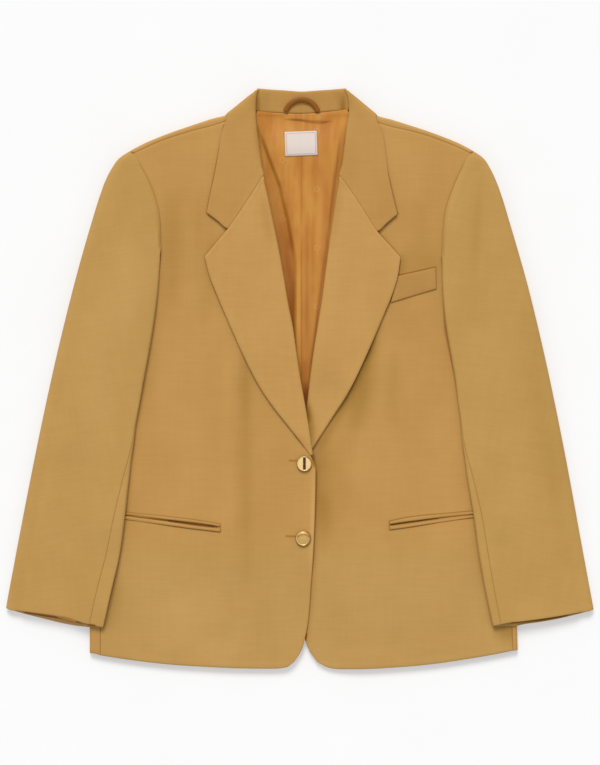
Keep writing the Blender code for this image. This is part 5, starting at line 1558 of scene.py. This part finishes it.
class Nodes:
    """Short calls for building one material's node tree."""

    def __init__(self, name):
        self.material = bpy.data.materials.new(name)
        self.material.use_nodes = True
        self.tree = self.material.node_tree
        self.shader = self.tree.nodes["Principled BSDF"]

    def plug(self, node, values):
        """Link or set a node's sockets, which are given by name or number."""
        for key, value in values.items():
            if isinstance(value, bpy.types.NodeSocket):
                self.tree.links.new(value, node.inputs[key])
            else:
                node.inputs[key].default_value = value

    def add(self, kind, values, out=0, **settings):
        """One output of a new node."""
        node = self.tree.nodes.new("ShaderNode" + kind)
        for key, value in settings.items():
            setattr(node, key, value)
        self.plug(node, values)
        return node.outputs[out]

    def where(self):
        """The point in the garment's frame."""
        return self.add("TexCoord", {}, "Object")

    def level(self, axis):
        """That point's place along one axis."""
        return self.add("SeparateXYZ", {0: self.where()}, axis)

    def value(self, name):
        """What one of the piece's points carries."""
        return self.add("Attribute", {}, "Fac", attribute_name=name)

    def place(self, scale, turn=0.0):
        """The point in the garment's frame, turned and stretched."""
        turned = self.add("Mapping", {"Vector": self.where(), "Rotation": (0, 0, turn)})
        return self.add("Mapping", {"Vector": turned, "Scale": scale})

    def noise(self, scale, turn=0.0, detail=3.0):
        return self.add("TexNoise", {"Vector": self.place(scale, turn), "Scale": 1.0,
                                     "Detail": detail, "Roughness": 0.55})

    def maths(self, operation, first, second=0.0, **settings):
        return self.add("Math", {0: first, 1: second}, operation=operation, **settings)

    def plus(self, first, second):
        return self.maths("ADD", first, second)

    def minus(self, first, second, **settings):
        return self.maths("SUBTRACT", first, second, **settings)

    def times(self, first, second):
        return self.maths("MULTIPLY", first, second)

    def vector(self, operation, *values, out=0):
        return self.add("VectorMath", dict(enumerate(values)), out, operation=operation)

    def spread(self, value, low, high, to_low=0.0, to_high=1.0):
        """Go smoothly from `to_low` to `to_high` while the value goes from `low` to `high`."""
        return self.add("MapRange", {"Value": value, "From Min": low, "From Max": high,
                                     "To Min": to_low, "To Max": to_high},
                        interpolation_type="SMOOTHSTEP")

    def mix(self, share, first, second):
        """Mix two colours, each an output or a colour as it shows on a screen."""
        first, second = (colour if isinstance(colour, bpy.types.NodeSocket) else linear(colour)
                         for colour in (first, second))
        return self.add("Mix", {0: share, 6: first, 7: second}, 2, data_type="RGBA")

    def patches(self, share, colour):
        """A colour that goes softly between two close tones."""
        return self.mix(share, [c - TONE_STEP for c in colour], [c + TONE_STEP for c in colour])

    def finish(self, height, strength, depth, **inputs):
        """Set the shader's inputs, with the bump that a height gives."""
        normal = self.add("Bump", {"Height": height, "Strength": strength, "Distance": depth})
        inputs = {key.replace("_", " "): value for key, value in inputs.items()}
        self.plug(self.shader, {"Normal": normal, **inputs})
        return self.material


def weave(nodes, turn, size):
    """Crossing threads, `size` metres apart."""
    place = nodes.place((1, 1, 1), turn)
    return nodes.times(*(nodes.add(
        "TexWave", {"Vector": place, "Scale": 0.159 / size * 2, "Distortion": 0.6, "Detail": 1.0},
        "Fac", bands_direction=direction) for direction in ("X", "Y")))


def far_from(nodes, points):
    """The distance, in plan, from a line through the given points in millimetres."""
    flat = nodes.vector("MULTIPLY", nodes.where(), (1, 1, 0))
    nearest = None
    for ends in zip(points, points[1:]):
        a, b = (np.array((x, y + SHIFT, 0)) * MM for x, y in ends)
        unit = (b - a) / np.dot(b - a, b - a)
        along = nodes.vector("DOT_PRODUCT", flat, unit, out="Value")
        share = nodes.minus(along, float(np.dot(a, unit)), use_clamp=True)
        foot = nodes.vector("MULTIPLY_ADD", share, b - a, a)
        gap = nodes.vector("DISTANCE", flat, foot, out="Value")
        nearest = gap if nearest is None else nodes.maths("MINIMUM", nearest, gap)
    return nearest


def wool(name, colour, turn=0.0, seam=0.3, lines=(), low=None):
    """Fine worsted: two close tones in soft patches, slubs along the weft and a fine weave.

    `lines` are lines of painted shadow on it, given as the fronts' ones are; `seam` is how dark it is
    painted along each piece's edge, partly the seam's own dark and partly painted shadow; `low` is its
    colour near the hem; and each point's value paints light and shade on it.
    """
    nodes = Nodes(name)
    patches = nodes.spread(nodes.noise((14, 10, 14), turn), 0.35, 0.65)
    slubs = nodes.spread(nodes.noise((30, 420, 30), turn, 2.0), 0.4, 0.62)
    warp = nodes.spread(nodes.noise((260, 16, 40), turn, 2.0), 0.4, 0.62)
    shade = nodes.patches(patches, colour)
    if low:
        near_hem = nodes.spread(nodes.level("Y"), *FRONT_LOW_REACH, 1.0, 0.0)
        shade = nodes.mix(near_hem, shade, nodes.patches(patches, low))
    grain = nodes.plus(nodes.times(slubs, 0.07), nodes.times(warp, 0.04))
    shade = nodes.mix(grain, shade, SLUB)
    # Darker towards each piece's edge: the seam's own dark and painted shadow along it
    shade = nodes.mix(nodes.spread(nodes.value("edge"), 0.1, 1.3, seam, 0.0), shade, SEAM_AND_SHADOW_BROWN)
    # Lines of painted shadow and painted shade
    for points, full, gone, depth, *brown in lines:
        line = nodes.spread(far_from(nodes, points), full * MM, gone * MM, depth, 0.0)
        shade = nodes.mix(line, shade, *(brown or [SEAM_AND_SHADOW_BROWN]))
    # Painted light and shade from each point's value; the painted shade is a little richer in colour
    painted_light = nodes.value("painted_light")
    shade = nodes.add("HueSaturation", {"Color": shade, "Value": nodes.plus(painted_light, 1.0),
                                        "Saturation": nodes.plus(nodes.times(painted_light, -0.2), 1.0)})
    height = nodes.plus(weave(nodes, turn, 0.0011), nodes.times(slubs, 0.3))
    return nodes.finish(height, 0.2, 0.0001, Base_Color=shade, Roughness=0.88,
                        Specular_IOR_Level=0.2, Sheen_Weight=0.03, Sheen_Roughness=0.5)


def blossoms(nodes, steps, size):
    """Thin outlines of small five-petalled flowers on a staggered lattice."""
    total = 0.0
    for offset in (0.25, 0.75):
        parts = []
        for axis, step in zip("XY", steps):
            share = nodes.plus(nodes.maths("DIVIDE", nodes.level(axis), step), offset)
            parts.append(nodes.times(nodes.minus(nodes.maths("FRACT", share), 0.5), step))
        far = nodes.maths("SQRT", nodes.plus(*(nodes.times(part, part) for part in parts)))
        angle = nodes.times(nodes.maths("ARCTAN2", parts[1], parts[0]), 5.0)
        petal = nodes.plus(nodes.times(nodes.maths("COSINE", angle), size * 0.22), size * 0.72)
        line = nodes.maths("ABSOLUTE", nodes.minus(far, petal))
        total = nodes.plus(nodes.spread(line, 0.0002, 0.0009, 1.0, 0.0), total)
    return total


def satin(name, dark=(177, 109, 38), light=(203, 144, 64), flowers=True):
    """Golden orange lining with faint streaks and small pale flowers, and painted shade in its folds and
    painted highlight on their edges, as each point's value gives.
    """
    nodes = Nodes(name)
    streaks = nodes.spread(nodes.noise((85, 8, 60), 0.0, 2.0), 0.35, 0.65)
    cloud = nodes.spread(nodes.noise((26, 12, 30)), 0.38, 0.62)
    share = nodes.plus(nodes.times(streaks, 0.35), nodes.times(cloud, 0.45))
    shade = nodes.mix(nodes.plus(share, 0.1), dark, light)
    if flowers:
        shade = nodes.mix(nodes.times(blossoms(nodes, BLOSSOM_STEPS, BLOSSOM_SIZE), 0.26), shade,
                          BLOSSOM_HUE)
    # Painted shade and painted highlight from each point's value
    painted_light = nodes.value("painted_light")
    shade = nodes.mix(nodes.spread(painted_light, -0.7, 0.0, 1.0, 0.0), shade, SATIN_PAINTED_SHADE)
    shade = nodes.mix(nodes.spread(painted_light, 0.0, 0.4, 0.0, 1.0), shade, SATIN_PAINTED_HIGHLIGHT)
    return nodes.finish(streaks, 0.15, 0.0002, Base_Color=shade, Roughness=0.5,
                        Specular_IOR_Level=0.25)


def tape(name):
    """White woven tape with a line beside its edge."""
    nodes = Nodes(name)
    edge = nodes.value("edge")
    line = nodes.minus(nodes.spread(edge, 1.6, 2.0), nodes.spread(edge, 2.5, 2.9))
    return nodes.finish(weave(nodes, 0.0, 0.0007), 0.3, 0.0001, Roughness=0.6, Sheen_Weight=0.1,
                        Base_Color=nodes.mix(line, (214, 200, 190), (182, 163, 149)))


def brass(name, pale):
    """Brass, painted darker where each point's value is high: painted shade, and patina in the slot's hollow.
    """
    nodes = Nodes(name)
    grain = nodes.noise((900, 900, 900))
    painted_light = nodes.times(nodes.value("painted_shade_and_patina"), nodes.spread(grain, 0.3, 0.6, 0.8, 1.0))
    return nodes.finish(grain, 0.25, 0.0001, Base_Color=nodes.mix(painted_light, pale, (86, 42, 6)),
                        Metallic=0.45, Roughness=nodes.spread(painted_light, 0.0, 1.0, 0.3, 0.5))


# --- Stage --------------------------------------------------------------------------------

VIEW_CENTRE = (0.65, -4.4)
VIEW_HEIGHT = 994.5
LENS = 180.0
SENSOR = 36.0
FRONT_LEVEL = 10.0
# Light: the sky's strength, the window's strength, width in degrees and tilt about X and Y
SKY = 0.62
SUN = 2.15
SUN_ANGLE = 26.0
SUN_TILT = (-46.0, -9.0)
SUN_PLACE = (0, 1.5, 2)
FLOOR_HALF = 3000.0
FLOOR_HUE = (203, 203, 203)
FLOOR_GLOW = 0.31
WHITE = (1.0, 1.0, 1.0, 1.0)


def floor():
    """Pale paper that shades a little and glows a little, as the photo's ground does."""
    corners = np.array([(-1, -1, 0), (1, -1, 0), (1, 1, 0), (-1, 1, 0)])
    made = mesh_object("floor", corners * FLOOR_HALF, [(0, 1, 2, 3)])
    nodes = Nodes("floor_paper")
    share = nodes.spread(nodes.noise((8, 8, 8)), 0.3, 0.7, 0.0, 0.04)
    nodes.plug(nodes.shader, {"Base Color": nodes.mix(share, FLOOR_HUE, (240, 240, 240)),
                              "Roughness": 0.9, "Emission Color": WHITE,
                              "Emission Strength": FLOOR_GLOW})
    made.data.materials.append(nodes.material)


def stand(name, data, place):
    """Put a camera or a lamp in the scene."""
    made = bpy.data.objects.new(name, data)
    made.location = place
    bpy.context.scene.collection.objects.link(made)
    return made


def stage():
    floor()
    scene = bpy.context.scene
    lens = bpy.data.cameras.new("camera")
    lens.lens, lens.sensor_width, lens.clip_end = LENS, SENSOR, 50.0
    far = VIEW_HEIGHT * LENS / SENSOR + FRONT_LEVEL
    scene.camera = stand("camera", lens, (VIEW_CENTRE[0] * MM, VIEW_CENTRE[1] * MM, far * MM))
    scene.world = bpy.data.worlds.new("studio")
    scene.world.use_nodes = True
    sky = scene.world.node_tree.nodes["Background"].inputs
    sky[0].default_value, sky[1].default_value = WHITE, SKY
    lamp = bpy.data.lights.new("window", "SUN")
    lamp.energy, lamp.angle = SUN, math.radians(SUN_ANGLE)
    stand("window", lamp, SUN_PLACE).rotation_euler = (*np.radians(SUN_TILT), 0)
    scene.view_settings.view_transform = "Standard"


def main():
    hues = {name: wool("wool_" + name, colour, seam=RIMS[name]) for name, colour in HUES.items()}
    fronts = {end: wool("wool_front_" + end, FRONT_HUE, lines=PAINTED_SHADOW_LINES[end], low=FRONT_LOW_HUE)
              for end in PAINTED_SHADOW_LINES}
    sleeves = {end: wool("wool_sleeve_" + end, SLEEVE_HUE[end], turn, 0.14)
               for end, turn in WEAVE_TURN.items()}
    unders = {end: wool("wool_under_sleeve_" + end, SLEEVE_HUE[end], turn, 0.14, CUFF_SHADOW_LINES[end])
              for end, turn in WEAVE_TURN.items()}
    lining = satin("lining_satin")
    for side, end in ((RIGHT, "right"), (LEFT, "left")):
        lay("back_" + end, refine(*back_grid(side), BACK_SPACING), "body", hues["back"])
        front(side, end, fronts[end])
        top_sleeve(side, end, sleeves[end])
        lay("under_sleeve_" + end, refine(*under_sleeve_grid(side), UNDER_SPACING), "body",
            unders[end], "front_" + end)
        lapel(side, end, hues["lapel"])
        jets(end, hues["back"])
    collar(hues["collar"])
    welt(hues["welt"])
    lay("back_lining", as_sheet(lining_grid()), "lining", lining, "back_left", "back_right",
        slot="lining_satin")
    lay("sleeve_lining_right", refine(*sleeve_lining_grid(), SLEEVE_LINING_SPACING), "lining",
        satin("sleeve_satin", flowers=False), "under_sleeve_right", slot="lining_satin")
    lay("label", as_sheet(label_grid()), "label", tape("label_tape"), "back_lining",
        slot="label_tape")
    hanger_loop(satin("loop_satin", (128, 74, 1), (140, 84, 5), flowers=False))
    for name in BUTTON_CENTRES:
        button(name, brass(name + "_metal", BUTTON_HUES[name]))
    stage()


main()
